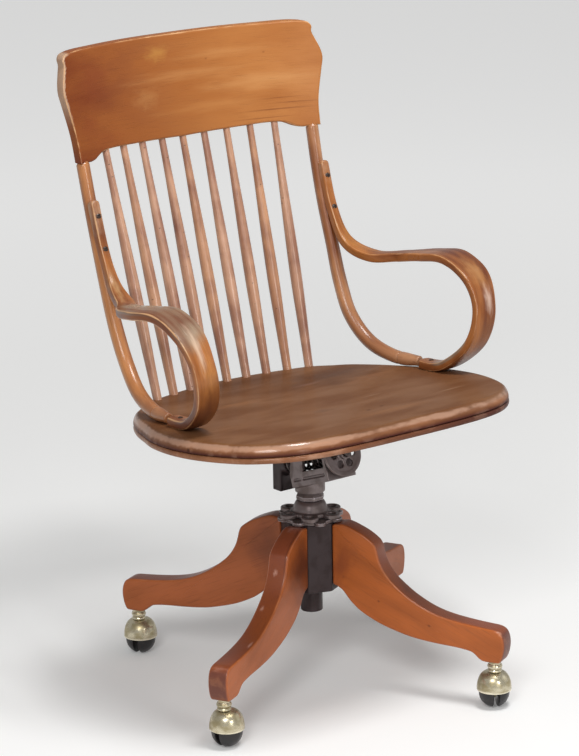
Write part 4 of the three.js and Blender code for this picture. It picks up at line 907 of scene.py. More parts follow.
post_points = np.array([post_place(*shares) for shares in post_shares])
past_end = 20 * unit(post_points[0] - post_points[1])
post_points = np.vstack([post_points[0] + past_end, post_points])
post_path = through(post_points, 700)
middle, slope, along, share = stations(post_path, POST_EASE, 300)
radius = eased([(0, 10), (0.35, 10.12), (0.62, 11.2), (0.8, 11.2), (0.93, 10.42), (1, 8)], share)
radius -= 2.5 * np.clip((middle[:, 2] - POST_NECK) / 4, 0, 1)
ring_groove = 0.9 * np.exp(-(((along[-1] - along - 40) / 1.3) ** 2))
radius = (radius - ring_groove) * tip_share(along, POST_EASE, 9)
around = full_turn(32)
across, up = radius[:, None] * np.cos(around), radius[:, None] * np.sin(around)
post_rows, post_grain = swept(middle, slope, along, across, up)
post_edge = np.exp(-(((along[-1] - along) / 5) ** 2)) * 0.8
post_front = np.cross(slope, ACROSS)[:, None, 1] * np.sin(around)
# Painted shade: the back of each post drawn pinker and darker.
post_back_shade = np.clip((0.3 + post_front) / 0.8, 0, 1)
for side_name, sign in (("left", 1), ("right", -1)):
    piece(f"{side_name}_post_bent", "seat", "turned_wood", post_finish, [f"{side_name}_back_post"],
          skin(post_rows * (sign, 1, 1), grain=post_grain + sign * POST_GRAIN * ACROSS,
               edge=post_edge[:, None], zone=0.35 + 0.2 * sign + 0.9 * post_back_shade * (1 if sign < 0 else 0.6)))


# %% The two arms, ribbons with rounded corners and a slight crown
ARM_EASE, ARM_CORNER, ARM_CROWN, ARM_END_LIFT, ARM_GRAIN = 6.0, 3.6, 0.8, 7.55, 5000.0
ARM_GAP, ARM_SPREAD, ARM_FRONT, ARM_DEPTH, ARM_TOP = 219.6, 53.4, -97.0, 328.5, 744.0
arm_shares = [
    (0, 1, 1), (0, 0.929, 0.749), (0.07, 0.835, 0.58), (0.33, 0.693, 0.521), (0.79, 0.564, 0.532),
    (1, 0.404, 0.563), (0.99, 0.23, 0.581), (0.96, 0.073, 0.5), (0.86, 0.003, 0.341), (0.69, 0.028, 0.177),
    (0.46, 0.156, 0.042), (0.4, 0.25, 0.007), (0.385, 0.357, 0),
]
arm_foot = seat_top(ARM_FRONT + ARM_DEPTH * arm_shares[-1][1]) + ARM_END_LIFT
arm_scale = (ARM_SPREAD, ARM_DEPTH, ARM_TOP - arm_foot)
arm_points = (ARM_GAP, ARM_FRONT, arm_foot) + np.array(arm_shares) * arm_scale
arm_path = through(arm_points, 900)[:-5]
middle, slope, along, share = stations(arm_path, ARM_EASE, 240)
width = eased([
    (0, 15), (0.14, 15), (0.3, 28.5), (0.5, 58), (0.6, 52.2), (0.72, 39.9), (0.88, 38), (1, 25),
], share)
thick = eased([(0, 14.5), (0.3, 14.3), (0.6, 12.5), (0.85, 12.9), (1, 14.1)], share)


# %% The arms' section
def ribbon_section(width, thick, corner, crown):
    """A rectangle of width by thick with corners of one radius, and faces that rise by crown (1 - a^2)."""
    turn = np.linspace(0, np.pi / 2, 7)
    flat = np.linspace(1, -1, 9)[1:-1]
    none, one = np.zeros(7), np.ones(7)
    stretches = []
    for quarters, (side, top) in enumerate([(1, 1), (-1, 1), (-1, -1), (1, -1)]):
        angle = turn + quarters * np.pi / 2
        stretches.append([side * one, top * one, np.cos(angle), np.sin(angle), np.sin(2 * turn)])
        if side == top:
            stretches.append([side * flat, top * one, none, top * one, none])
    a, b, c, s, worn = np.concatenate(stretches, axis=1)
    across = a * (width[:, None] / 2 - corner) + corner * c
    up = b * (thick[:, None] / 2 - corner) + corner * s + crown * b * (1 - a**2)
    return across, up, worn, b


# %% Both arms, paler where forearms rest, with painted shade on the inner face of the low loop
arm_across, arm_up, arm_worn, arm_face = ribbon_section(width, thick, ARM_CORNER, ARM_CROWN)
keep_across = tip_share(along, ARM_EASE, np.where(share > 0.5, 12.5, 7.5))[:, None]
keep_up = tip_share(along, 3.5, 7)[:, None]
arm_rows, arm_grain = swept(middle, slope, along, arm_across * keep_across, arm_up * keep_up)
forearm = eased([(0, 0), (0.27, 0), (0.38, 1), (0.6, 1), (0.78, 0), (1, 0)], share)
low_loop = eased([(0, 0), (0.74, 0), (0.84, 0.5), (0.9, 0.5), (1, 0.1)], share)
arm_rest = forearm[:, None] * np.clip(0.1 + arm_face, 0, 1)
# Painted shade: the inner face of the low loop drawn dark with the end tone.
loop_inner_shade = low_loop[:, None] * np.clip(-arm_face, 0, 1)
for side_name, sign in (("left", 1), ("right", -1)):
    piece(f"{side_name}_arm_ribbon", "seat", "arm_wood", arm_finish, [f"{side_name}_arm"],
          skin(arm_rows * (sign, 1, 1), grain=arm_grain + sign * ARM_GRAIN * ACROSS, edge=arm_worn,
               zone=arm_rest * (0.55 if sign > 0 else 1.0) + 2 * loop_inner_shade))
print("post", post_rows.shape, "arm", arm_rows.shape)

# %% [markdown]
# ## Screws in the wood
#
# Round-headed slotted screws hold the arms to the posts and both to the seat. A head is a dome, and the
# slot is the same dome pushed down where a point lies near one line across it.


# %% Slotted screw heads
def screw_head(radius, height, placing, slot_turn, depth=7.0):
    """Rings of a dome h (1 - (r/R)^2.4), less a slot along one diameter, with a short shank below."""
    rings = np.concatenate([np.linspace(0.04, 1, 22), [1.0, 0.5]])
    around = full_turn(72) + slot_turn
    flat = rings[:, None] * radius
    level = height * (1 - np.clip(rings, 0, 1) ** 2.4)[:, None] + 0 * around
    offset = np.abs(flat * np.sin(around - slot_turn))
    in_slot = (1 - np.clip((offset / radius - 0.1) / 0.05, 0, 1)) * (rings[:, None] < 0.99)
    level = level - 0.42 * height * in_slot
    level[-2:] = -depth * np.array([[0.25], [1]])
    local = circled(flat, level, around)
    return skin(laid(local, placing), grain=local, edge=(np.clip(rings, 0, 1) ** 4 * 0.6)[:, None])


def square_to(origin, third):
    """An origin and three axes, the first across the chair and the third square to the surface."""
    third = unit(third)
    return origin, ACROSS, np.cross(third, ACROSS), third


# %% Where the eight screws sit
ARM_HALF_THICK, LOW_END, FOOT_SCREW_LIFT = 7.0, 480.0, 7.1
seat_up = np.array([0.0, math.sin(SEAT_SLOPE), math.cos(SEAT_SLOPE)])
screw_places = {}
for label, height in (("upper_arm_screw", 721), ("lower_arm_screw", 673)):
    at = np.argmax(arm_path[:, 2] <= height)
    outward = unit(np.cross(arm_path[at + 1] - arm_path[at - 1], ACROSS))
    screw_places[label] = square_to(arm_path[at] + outward * ARM_HALF_THICK, outward)
for label, path, back in (("post_foot_screw", post_path, 47), ("arm_foot_screw", arm_path, -2)):
    low_end = path[path[:, 2] < LOW_END]
    at = low_end[np.argmin(np.abs(low_end[:, 1] - back))]
    screw_places[label] = square_to(at + UP * FOOT_SCREW_LIFT, seat_up)
for side_name, sign in (("left", 1), ("right", -1)):
    for label, (origin, first, second, third) in screw_places.items():
        flip = np.array([sign, 1, 1])
        head = screw_head(5, 2.2, (origin * flip, first, second * flip, third * flip), 0.5 + sign * 0.4)
        piece(f"{side_name}_{label}_head", "seat", "steel", screw_finish, [f"{side_name}_{label}"], head)

# %% [markdown]
# ## The legs
#
# The four legs are thick boards sawn to one scroll. The outline is worked out once, in the leg's own plane,
# and the same rings are then turned to each leg's direction. The narrow faces are darker than the broad
# ones.

# %% Leg outline
LEG_THICKNESS, LEG_ROUND, HUB_FLAT, LEG_REACH, LEG_TOP = 31.0, 3.3, 42.3, 320.5, 260.5
LEG_POINTS, LEG_SOFTNESS, TOE_REACH, TOE_TOP = 760, 2.7, 312.0, 135.0
LEG_TURNS = [math.radians(-64.08 + 90 * i) for i in range(4)]
leg_top = [
    (0, 0.992), (0.035, 0.996), (0.06, 1), (0.092, 0.992), (0.132, 0.976), (0.175, 0.956), (0.218, 0.929),
    (0.25, 0.902),
]
leg_instep = [
    (0.25, 0.902), (0.261, 0.875), (0.269, 0.837), (0.283, 0.791), (0.308, 0.743), (0.344, 0.697),
    (0.391, 0.655), (0.441, 0.616), (0.495, 0.582), (0.552, 0.553), (0.614, 0.53), (0.682, 0.514),
    (0.754, 0.503), (0.826, 0.495), (0.898, 0.489), (0.948, 0.484), (0.977, 0.47), (0.993, 0.441),
    (1, 0.399), (0.998, 0.365), (0.989, 0.322), (0.973, 0.286),
]
leg_under = [
    (0.88, 0.286), (0.858, 0.296), (0.818, 0.332), (0.775, 0.342), (0.711, 0.349), (0.621, 0.354),
    (0.531, 0.362), (0.452, 0.374), (0.351, 0.401), (0.279, 0.426), (0.218, 0.455), (0.159, 0.49),
    (0.108, 0.536), (0.083, 0.567), (0.06, 0.597), (0.035, 0.616), (0, 0.628),
]
leg_scale = np.array([LEG_REACH - HUB_FLAT, LEG_TOP])
top, instep, under = (
    through(np.array(points) * leg_scale, count)
    for points, count in ((leg_top, 40), (leg_instep, 230), (leg_under, 150))
)
straight = lambda start, end, count: evenly(np.vstack([start, end]), count)[1:-1]
leg_line = np.vstack([
    top, instep[1:], straight(instep[-1], under[0], 14), under, straight(under[-1], top[0], 30),
])
leg_line[:, 0] += HUB_FLAT
leg_line = evenly(np.vstack([leg_line, leg_line[:1]]), LEG_POINTS + 1)[:-1]
print("leg outline", len(leg_line), "points")


# %% Leg outline with softened corners, and its rings
def softened(line, reach):
    """A closed line where each point is a mean of its neighbours, weighted by exp(-n^2 / 2 reach^2)."""
    half = len(line) // 2
    weight = np.exp(-((np.arange(len(line)) + half) % len(line) - half) ** 2 / (2 * reach**2))
    waves = np.fft.fft(line, axis=0) * np.fft.fft(weight / weight.sum())[:, None]
    return np.real(np.fft.ifft(waves, axis=0))


arc = np.linspace(0, np.pi / 2, 6)
arris = np.stack([LEG_ROUND * (1 - np.sin(arc)), LEG_THICKNESS / 2 - LEG_ROUND * (1 - np.cos(arc))], -1)
half = np.vstack([[(LEG_ROUND + 0.4, LEG_THICKNESS / 2)], arris])
leg_rings = board_rings(softened(leg_line, LEG_SOFTNESS), np.vstack([half, (half * (1, -1))[::-1]]))
leg_edge = np.concatenate([[0], np.sin(2 * arc), np.sin(2 * arc)[::-1], [0]])
reach, height = leg_rings[..., 0], leg_rings[..., 1]
toe = np.clip((reach - TOE_REACH) / 6, 0, 1) * np.clip((TOE_TOP - height) / 15, 0, 1)
narrow = np.concatenate([[0], np.linspace(0, 1, 6) ** 2, np.linspace(1, 0, 6) ** 2, [0]])[:, None]
leg_zone = narrow * (1 + toe)
leg_local = leg_rings[..., [0, 2, 1]]
leg_grain = leg_spot(0, *np.moveaxis(leg_rings, -1, 0))
# Painted shade on whole legs, strongest on legs 2 and 3: each leg's zone is raised toward the darker
# narrow-face tone.
for number, (direction, leg_painted_shade) in enumerate(zip(LEG_TURNS, (0.0, 0.3, 0.4, 0.2)), 1):
    piece(f"leg_{number}_scroll", "base", "leg_wood", leg_finish, [f"leg_{number}"],
          skin(turned_about(leg_local, direction), grain=leg_grain + number * GRAIN_STEP,
               edge=leg_edge[:, None], zone=np.maximum(leg_zone, leg_painted_shade)))

# %% [markdown]
# ## Casters
#
# Each caster is a bell that turns on a stem in a ringed cup, over a ball split in two by a thin web. All but
# the web is turned work, so one lathe function makes the bell, the stem, the cup and the half balls from
# their profiles.

# %% Caster profiles
BALL_RADIUS, BALL_GAP, TRAIL, STEM_CIRCLE = 23.0, 3.8, 5.0, 300.0
BELL_INSIDE, BELL_LIP = 24.4, 4.4
CASTER_TURNS = [math.radians(angle) for angle in (60, 100, 30, 10)]

bell_outer = through([
    (1.5, 56.5), (6, 56.5), (10.5, 56.2), (16, 54.2), (21.4, 48.6), (24.7, 40), (25.9, 32), (26, 28.2),
], 60)
sphere = np.linspace(math.asin(BELL_LIP / BELL_INSIDE), math.radians(86), 30)
bell_inner = np.stack([BELL_INSIDE * np.cos(sphere), BALL_RADIUS + BELL_INSIDE * np.sin(sphere)], -1)
lip = np.array([(25.9, 27.3), (25.4, 27.0), (24.8, 27.0)])
bell_profile = np.vstack([bell_outer, lip, bell_inner])
bell_edge = np.concatenate([np.zeros(52), np.linspace(0, 1, 8), np.ones(3), np.zeros(30)])
cup_profile, cup_edge = rounded([
    (4.9, 62.2), (10.1, 62.2), (11.5, 65.8), (10.1, 69.3), (8.8, 69.4), (8.8, 74.4), (6.9, 74.4), (6.9, 100),
    (4.9, 100),
], 0.9)
stem_profile, stem_edge = rounded([
    (0.5, 52), (4.5, 52), (4.5, 56.8), (9.4, 56.9), (10.8, 59.3), (9.4, 61.8), (4.5, 61.8), (4.5, 105.5),
    (0.5, 106),
], 0.8, loop=False)
half_angle = np.linspace(math.asin(BALL_GAP / BALL_RADIUS), math.radians(88), 34)
half_ball = np.stack([BALL_RADIUS * np.cos(half_angle), BALL_RADIUS * np.sin(half_angle)], -1)
slot_side = np.array([(3.6, 0.0), (3.6, BALL_GAP), (20.5, BALL_GAP), (21.9, BALL_GAP + 0.25)])
half_profile = np.vstack([slot_side, half_ball[1:]])
WEB_HALF, WEB_TOP = 8.5, 24.6
turn = np.linspace(-np.pi, 0, 24)
web_foot = np.stack([WEB_HALF * np.cos(turn), WEB_HALF * np.sin(turn)], -1)
web_line = np.vstack([web_foot, [(WEB_HALF, WEB_TOP), (-WEB_HALF, WEB_TOP)]])
web_line = evenly(np.vstack([web_line, web_line[:1]]), 80)[:-1]


# %% Four casters
def caster(number):
    """One caster: its bell with the web, its stem, its cup and its split ball."""
    direction, trail = LEG_TURNS[number - 1], CASTER_TURNS[number - 1]
    stem = (STEM_CIRCLE * math.cos(direction), STEM_CIRCLE * math.sin(direction))
    at_stem = lambda part: {**part, "points": turned_about(part["points"], trail, stem)}
    ball_place = lambda sign: (np.array([TRAIL, 0, BALL_RADIUS]), ACROSS, UP * sign, BACK * sign)
    bell = lathe(bell_profile, 72, (np.array([TRAIL, 0, 0]), ACROSS, BACK, UP), edge=bell_edge)
    rings = board_rings(web_line, [(0.8, -2.5), (0, -1.7), (0, 1.7), (0.8, 2.5)])
    web = skin(np.stack([rings[..., 0] + TRAIL, rings[..., 2], rings[..., 1] + BALL_RADIUS], -1))
    fork, ball = f"caster_{number}_fork", f"caster_{number}_ball"
    piece(f"caster_{number}_bell", fork, "caster_metal", caster_finish, [f"caster_{number}_hood"],
          at_stem(bell), at_stem(web))
    piece(f"caster_{number}_swivel_stem", fork, "caster_metal", caster_finish, [f"caster_{number}_stem"],
          at_stem(lathe(stem_profile, 48, edge=stem_edge)))
    piece(f"caster_{number}_cup", "base", "caster_metal", caster_finish, [f"caster_{number}_socket"],
          at_stem(lathe(cup_profile, 56, edge=cup_edge, wrap=True)))
    halves = [at_stem(lathe(half_profile, 64, ball_place(sign))) for sign in (1, -1)]
    piece(f"caster_{number}_split_ball", ball, "black_ball", ball_finish, [f"caster_{number}_wheels"],
          *halves)


for number in range(1, 5):
    caster(number)
print("casters", number, "with balls of", 2 * BALL_RADIUS, "mm")

# %% [markdown]
# ## Castings
#
# The ironwork is sand cast, so every inner corner is filleted and every edge a little soft. That is hard to
# model edge by edge. Instead the plain solids are joined, rebuilt from small even cells and smoothed a few
# times. How far the smoothing pulls a point in tells how sharp its edge was, and that becomes the mask for
# rubbed edges.


# %% Solids into castings
def evaluated(made):
    """The object's mesh with its modifiers applied."""
    depsgraph = bpy.context.evaluated_depsgraph_get()
    return bpy.data.meshes.new_from_object(made.evaluated_get(depsgraph))


def coordinates(mesh, what="co"):
    """The place of each point of a mesh, or its normal."""
    values = np.empty(len(mesh.vertices) * 3, np.float32)
    mesh.vertices.foreach_get(what, values)
    return values.reshape(-1, 3)


def cast(name, body, material, nodes, source, cell, rounds=5):
    """Rebuilds a closed mesh from cells of one size, then smooths it: each point moves half way to the mean
    of its neighbours, a few times over."""
    draft = linked(name + "_draft", source)
    cells = draft.modifiers.new("cells", "REMESH")
    cells.mode, cells.voxel_size = "VOXEL", cell * MM
    before = coordinates(evaluated(draft))
    smooth = draft.modifiers.new("smooth", "SMOOTH")
    smooth.factor, smooth.iterations = 0.5, rounds
    mesh = evaluated(draft)
    bpy.data.objects.remove(draft)
    after, normals = coordinates(mesh), coordinates(mesh, "normal")
    sharp = np.clip(np.sum((before - after) * normals, axis=1) / (cell * MM) * 2.2, 0, 1)
    marked(mesh, {"edge": sharp, "zone": 0 * sharp, "grain": after})
    mesh.name = name
    return dressed(mesh, name, body, material, nodes)


def solid_copy(name):
    """A welded copy of a node's loose triangles."""
    return welded(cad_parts[name].data.copy(), outwards=False)


# %% Four castings from their solids
cast("head_casting", "head", wheel_finish, ["tilt_yoke"], solid_copy("tilt_yoke"), 1.1)
cast("iron_casting", "seat", iron_finish, ["seat_iron"], solid_copy("seat_iron"), 1.3)
cast("hub_casting", "base", iron_finish, ["hub_column"], solid_copy("hub_column"), 1.5, 4)
cast("spring_plate_casting", "spring_plate", iron_finish, ["spring_plate"],
     solid_copy("spring_plate"), 0.9, 4)

# %% [markdown]
# ## Hub plate, height wheel and collar
#
# A scalloped plate closes the hub. On it sits the wheel that raises the seat, a domed disc with six eyes
# round it, and over that an eight-sided collar. The plate's edge is one polar curve. The wheel is built
# from turned parts and cast in one, so that the eyes grow out of the disc.

# %% Hub plate: a section that follows a scalloped edge
PLATE_LOW, PLATE_HIGH, PLATE_RADIUS, SCREW_BORE = 260.3, 265.3, 43.0, 12.9


def scalloped(angle, circle, lobe, count):
    """The edge of a disc with lobes on its rim: c cos d + sqrt(l^2 - c^2 sin^2 d) near a lobe, and the disc
    elsewhere."""
    off = (angle + np.pi / count) % (2 * np.pi / count) - np.pi / count
    inside = np.clip(lobe**2 - (circle * np.sin(off)) ** 2, 0, None)
    return np.maximum(circle, (circle * np.cos(off) + np.sqrt(inside)) * (inside > 0))


around = full_turn(288)
edge_radius = scalloped(around - LEG_TURNS[0], PLATE_RADIUS, 9.0, 8)
section, worn = rounded([
    (SCREW_BORE, PLATE_LOW), (PLATE_RADIUS, PLATE_LOW), (PLATE_RADIUS, PLATE_HIGH), (SCREW_BORE, PLATE_HIGH),
], 1.4)
outer = section[:, :1] > PLATE_RADIUS / 2
radius = section[:, :1] + outer * (edge_radius - PLATE_RADIUS)
piece("hub_plate_scalloped", "base", "iron", wheel_finish, ["hub_plate"],
      skin(circled(radius, section[:, 1:], around), edge=worn[:, None], wrap=True))


# %% Height wheel: disc, dome and six eyes in one casting
WHEEL_LOW, WHEEL_HIGH, DOME_HIGH, WHEEL_BORE = 265.6, 272.6, 289.6, 13.0
EYE_CIRCLE, EYE_INSIDE, EYE_OUTSIDE, WHEEL_ROUND = 37.0, 6.5, 13.5, 2.2
disc, _ = rounded([
    (WHEEL_BORE, WHEEL_LOW), (31, WHEEL_LOW), (31, WHEEL_HIGH), (26.4, WHEEL_HIGH + 0.5), (25.6, 278.5),
    (22.8, 285.4), (19, DOME_HIGH), (WHEEL_BORE, DOME_HIGH),
], WHEEL_ROUND)
eye, _ = rounded([
    (EYE_INSIDE, WHEEL_LOW), (EYE_OUTSIDE, WHEEL_LOW), (EYE_OUTSIDE, WHEEL_HIGH), (EYE_INSIDE, WHEEL_HIGH),
], WHEEL_ROUND)
wheel_parts = [lathe(disc, 96, wrap=True)]
for i in range(6):
    angle = math.radians(-10 + 60 * i)
    centre = EYE_CIRCLE * np.array([math.cos(angle), math.sin(angle), 0])
    wheel_parts.append(lathe(eye, 40, (centre, ACROSS, BACK, UP), wrap=True))
cast("height_wheel_casting", "height_wheel", wheel_finish, ["height_wheel"],
     mesh_of("height_wheel_draft", wheel_parts), 0.75, 4)


# %% Swivel collar: a ring whose radius follows an octagon
COLLAR_SIDES = 192
around = full_turn(COLLAR_SIDES)
octagon = math.cos(math.pi / 8) / np.cos((around + math.pi / 8) % (math.pi / 4) - math.pi / 8)
octagon = np.minimum(octagon, 0.975)
collar, worn = rounded([
    (SCREW_BORE, 289.9), (20.5, 289.9), (22, 291.6), (22, 296), (17.8, 302.3), (SCREW_BORE, 302.4),
], 0.8)
shape = np.where(collar[:, :1] > SCREW_BORE + 2, octagon, 1.0)
piece("swivel_collar_octagon", "screw", "iron", wheel_finish, ["swivel_collar"],
      lathe(collar, COLLAR_SIDES, shape=shape, edge=worn, wrap=True))

# %% [markdown]
# ## Screw threads
#
# The height screw and the tension bolt have real threads. The radius of a threaded rod depends on both the
# turn and the height: following a point round once, the thread has climbed by one pitch.

# %% Threaded rods
ROWS_PER_TURN, BLUNT = 14, 0.35


def threaded(radius, depth, pitch, low, high, placing, sides):
    """Radius R - d * wave((h - pitch u / 2 pi) / pitch), where wave runs from 0 on a crest to 1 in a root."""
    height = np.linspace(low, high, int((high - low) / pitch * ROWS_PER_TURN))[:, None]
    angle = full_turn(sides)
    turn = (height - pitch * angle / (2 * np.pi)) / pitch % 1
    wave = np.clip(1 - np.abs(2 * turn - 1) * (1 + BLUNT) + BLUNT / 2, 0, 1)
    ends = np.clip(np.minimum(height - low, high - height) / pitch, 0, 1)
    depths = depth * (wave * ends + (1 - ends) * 0.9)
    local = circled(radius - depths, height, angle)
    return skin(laid(local, placing), grain=local[..., [2, 0, 1]], edge=(1 - wave) * 0.7)


piece("height_screw_thread", "screw", "steel", steel_finish, ["screw_spindle"],
      threaded(radius=12.5, depth=1.1, pitch=6.0, low=117.9, high=317.9, placing=UPRIGHT, sides=56))

# %% [markdown]
# ## The tension gear
#
# In front of the head hangs a holed wheel on a bolt. Turning it drives a plate along the bolt against a
# coil spring, which pushes on the lever of the seat iron. The gear slopes, so its own axis is the third
# axis here.

# %% Gear axis and bolt
gear_origin = on_gear(0 * UP)
gear = (gear_origin, ACROSS, gear_origin - on_gear(UP), on_gear(BACK) - gear_origin)
bolt_front, _ = rounded([
    (0.6, -96.2), (4.3, -96.2), (5, -95), (5, -63.8), (7.9, -63.7), (7.9, -60.8), (5, -60.6), (5, -56),
    (0.6, -56),
], 0.6, loop=False)
piece("tension_bolt_thread", "tension", "steel", steel_finish, ["tension_bolt"],
      lathe(bolt_front, 40, gear),
      threaded(radius=5.0, depth=0.6, pitch=2.5, low=-57.0, high=15.0, placing=gear, sides=32))


# %% Tension wheel: a turned rim and hub, with six holes punched through its web
HOLE_CIRCLE, HOLE_RADIUS = 17.0, 6.1
rim_profile, _ = rounded([
    (5.5, -91.3), (9, -91.3), (9, -84), (27, -84), (28.5, -84.4), (34, -84.4), (34, -79.3), (28, -79.3),
    (26, -80.6), (9, -80.6), (9, -70.3), (5.5, -70.3),
], 1.0)
wheel_draft = linked("wheel_draft", mesh_of("wheel_draft", [lathe(rim_profile, 120, gear, wrap=True)]))
punches = []
for i in range(6):
    angle = math.radians(60 * i)
    centre = gear[0] + HOLE_CIRCLE * (math.cos(angle) * gear[1] + math.sin(angle) * gear[2])
    punches.append(lathe([(HOLE_RADIUS, -90), (HOLE_RADIUS, -75)], 32, (centre, *gear[1:])))
punch = linked("punch_draft", mesh_of("punch_draft", punches))
holes = wheel_draft.modifiers.new("holes", "BOOLEAN")
holes.operation, holes.object, holes.solver = "DIFFERENCE", punch, "EXACT"
holed = evaluated(wheel_draft)
bpy.data.objects.remove(wheel_draft)
bpy.data.objects.remove(punch)
cast("tension_wheel_casting", "tension", wheel_finish, ["tension_wheel"], holed, 0.7, 3)

# %% Pivot pin, with a head at each end
PIN_HEIGHT = 396.0
pin_half = [(6, 35.1), (8.5, 35.1), (8.5, 36.8), (6.5, 38.1), (0.6, 38.1)]
pin_line = [(radius, -reach) for radius, reach in pin_half[::-1]] + pin_half
pin_profile, worn = rounded(pin_line, 0.8, loop=False)
piece("pivot_pin_turned", "head", "steel", steel_finish, ["pivot_pin"],
      lathe(pin_profile, 48, (UP * PIN_HEIGHT, -UP, BACK, ACROSS), edge=worn))

# %% [markdown]
# ## The coil spring
#
# The spring is one wire wound eight times, between the plate and the seat's lever. It is made in two halves
# that meet in the middle of the wire.

# %% Spring wire as a helix
SPRING_FRONT, SPRING_BACK, WIRE, COIL_RADIUS, COILS = -55.1, 44.7, 2.0, 13.0, 8
turns = np.linspace(0, 1, COILS * 40 + 1)
angle = 2 * np.pi * COILS * turns
ease_in = 0.5 - 0.5 * np.cos(np.pi * np.clip(turns * COILS, 0, 1))
ease_out = 0.5 - 0.5 * np.cos(np.pi * np.clip((1 - turns) * COILS, 0, 1))
climb = np.cumsum(0.32 + 0.68 * np.minimum(ease_in, ease_out))
climb = (climb - climb[0]) / (climb[-1] - climb[0])
height = SPRING_FRONT + WIRE + (SPRING_BACK - SPRING_FRONT - 2 * WIRE) * climb
coil = np.stack([COIL_RADIUS * np.cos(angle), height, COIL_RADIUS * np.sin(angle)], -1)
tangent = unit(np.gradient(coil, axis=0))
outward = coil * (1, 0, 1) / COIL_RADIUS
outward = unit(outward - tangent * np.sum(outward * tangent, axis=1, keepdims=True))
sideways = np.cross(tangent, outward)
around = full_turn(14)[None, :, None]
section = np.cos(around) * outward[:, None] + np.sin(around) * sideways[:, None]
wire_rows = on_gear(coil[:, None] + WIRE * section)
wire_grain = np.broadcast_to((np.arange(len(coil)) * 2.0)[:, None, None], wire_rows.shape)
cut_at = len(coil) // 2
spring_front = piece("tension_spring_front", None, "steel", steel_finish, ["tension_spring"],
                     skin(wire_rows[: cut_at + 1], grain=wire_grain[: cut_at + 1]))
spring_rear = piece("tension_spring_rear", None, "steel", steel_finish, ["tension_spring"],
                    skin(wire_rows[cut_at:], grain=wire_grain[cut_at:]))
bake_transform(spring_front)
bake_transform(spring_rear)

# %% Screws that hold the iron to the seat
seat_down = -seat_up
for number, (x, y) in enumerate([(x, y) for y in (-60, 78) for x in (-80, 80)], 1):
    origin = on_seat([x, y, -SEAT_THICKNESS - 6.6])
    head = screw_head(6.5, 3.5, (origin, ACROSS, np.cross(seat_down, ACROSS), seat_down), 0.7 * number, 8)
    piece(f"seat_iron_screw_{number}_head", "seat", "steel", screw_finish, [f"seat_iron_screw_{number}"],
          head)

# %% [markdown]
# ## Floor, light and camera
#
# A pale floor and four soft lamps, two in front, one above and a weak one at the side, show the colours
# about as they are written. The camera stands where the photograph was taken from, with the same narrow
# angle of view.

# %% Floor
FLOOR_HALF = 14.0
floor_mesh = bpy.data.meshes.new("floor")
floor_corners = np.array([(-1, -1, 0), (1, -1, 0), (1, 1, 0), (-1, 1, 0)]) * FLOOR_HALF
floor_mesh.from_pydata(floor_corners, [], [(0, 1, 2, 3)])
floor = linked("floor", floor_mesh)
floor_finish = bpy.data.materials.new("pale floor")
floor_finish.use_nodes = True
floor_shader = floor_finish.node_tree.nodes["Principled BSDF"]
floor_shader.inputs["Base Color"].default_value = (0.8, 0.8, 0.79, 1)
floor_shader.inputs["Roughness"].default_value = 0.9
floor_shader.inputs["Specular IOR Level"].default_value = 0.15
floor_tree = floor_finish.node_tree
floor_place = node(floor_tree, "ShaderNodeTexCoord").outputs["Object"]
away = node(floor_tree, "ShaderNodeVectorMath", {0: floor_place}, operation="LENGTH").outputs["Value"]


def seen_share(tree, glossy):
    """1 for what the camera or glass sees, and the given share for what shows in a shiny surface."""
    rays = node(tree, "ShaderNodeLightPath").outputs
    seen = maths(tree, "MAXIMUM", rays["Is Camera Ray"], rays["Is Transmission Ray"])
    return maths(tree, "MAXIMUM", seen, times(tree, rays["Is Glossy Ray"], glossy))


glow = times(floor_tree, seen_share(floor_tree, 1.0), stepped(floor_tree, away, 0.3, 4.0, 0.12, 0.4))
floor_shader.inputs["Emission Color"].default_value = (1.0, 1.0, 1.0, 1.0)
floor_tree.links.new(glow, floor_shader.inputs["Emission Strength"])
floor_mesh.materials.append(floor_finish)


# %% Lamps and world
def placed(made, first, second, third, origin):
    """Puts a lamp or the camera at a point, with its own axes along three directions."""
    columns = np.stack([first, second, third, origin], -1)
    made.matrix_world = Matrix([*columns.tolist(), [0, 0, 0, 1]])


def area_lamp(name, place, target, size, power):
    """A square lamp, aimed from a place to a target, with its size in metres and its power in watts."""
    lamp = bpy.data.lights.new(name, "AREA")
    lamp.shape, lamp.size, lamp.energy = "SQUARE", size, power
    place, target = np.array(place, float), np.array(target, float)
    _, *axes = frame_along(target, place, np.array([0.3, 0.9, 0.1]))
    placed(linked(name, lamp), *axes, place)


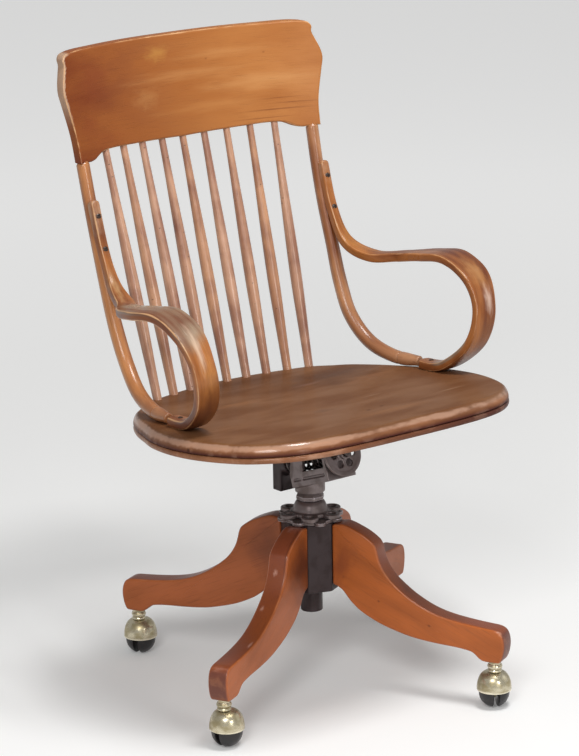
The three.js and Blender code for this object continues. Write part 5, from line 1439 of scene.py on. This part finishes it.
# %% Four lamps
area_lamp("key", (-2.6, -2.2, 2.5), (0, 0, 0.5), 1.2, 60)
area_lamp("front", (-0.6, -4.4, 1.5), (0, 0, 0.6), 0.8, 32)
area_lamp("fill", (2.8, -1.8, 1.6), (0, 0, 0.5), 2.0, 8)
area_lamp("top", (0.1, -0.9, 3.2), (0, 0, 0.5), 0.8, 58)

# %% World light
world = bpy.data.worlds.new("soft surround")
bpy.context.scene.world = world
world.use_nodes = True
world_tree = world.node_tree
background = world_tree.nodes["Background"]
background.inputs["Color"].default_value = (1.0, 1.0, 1.0, 1.0)
WORLD_LIGHT, WORLD_SHOWN = 0.3, 0.66
level = maths(world_tree, "MULTIPLY_ADD", seen_share(world_tree, 0.3), WORLD_SHOWN - WORLD_LIGHT, WORLD_LIGHT)
world_tree.links.new(level, background.inputs["Strength"])
bpy.context.scene.view_settings.view_transform = "Standard"

# %% Camera at the photograph's angle
azimuth, elevation, roll = np.radians([-38.301, 15.298, -0.958])
CAMERA_DISTANCE, AIM_ASIDE, AIM_HEIGHT = 4816.9, -28.09, 478.71
FOCAL_PIXELS, PHOTO_HEIGHT, SENSOR_WIDTH = 3227.2, 756, 36.0
toward = np.array([
    math.sin(azimuth) * math.cos(elevation), -math.cos(azimuth) * math.cos(elevation), math.sin(elevation),
])
aim = np.array([math.cos(azimuth) * AIM_ASIDE, math.sin(azimuth) * AIM_ASIDE, AIM_HEIGHT])
right = unit(np.cross(-toward, UP))
above = np.cross(right, -toward)
turned_right = right * math.cos(roll) + above * math.sin(roll)
turned_above = above * math.cos(roll) - right * math.sin(roll)
camera_data = bpy.data.cameras.new("camera")
camera_data.sensor_width, camera_data.lens = SENSOR_WIDTH, FOCAL_PIXELS * SENSOR_WIDTH / PHOTO_HEIGHT
camera_data.clip_start, camera_data.clip_end = 0.1, 60.0
camera = linked("camera", camera_data)
placed(camera, turned_right, turned_above, toward, metres(aim + toward * CAMERA_DISTANCE))
bpy.context.scene.camera = camera
print("the camera stands at", [round(value, 3) for value in camera.matrix_world.translation])
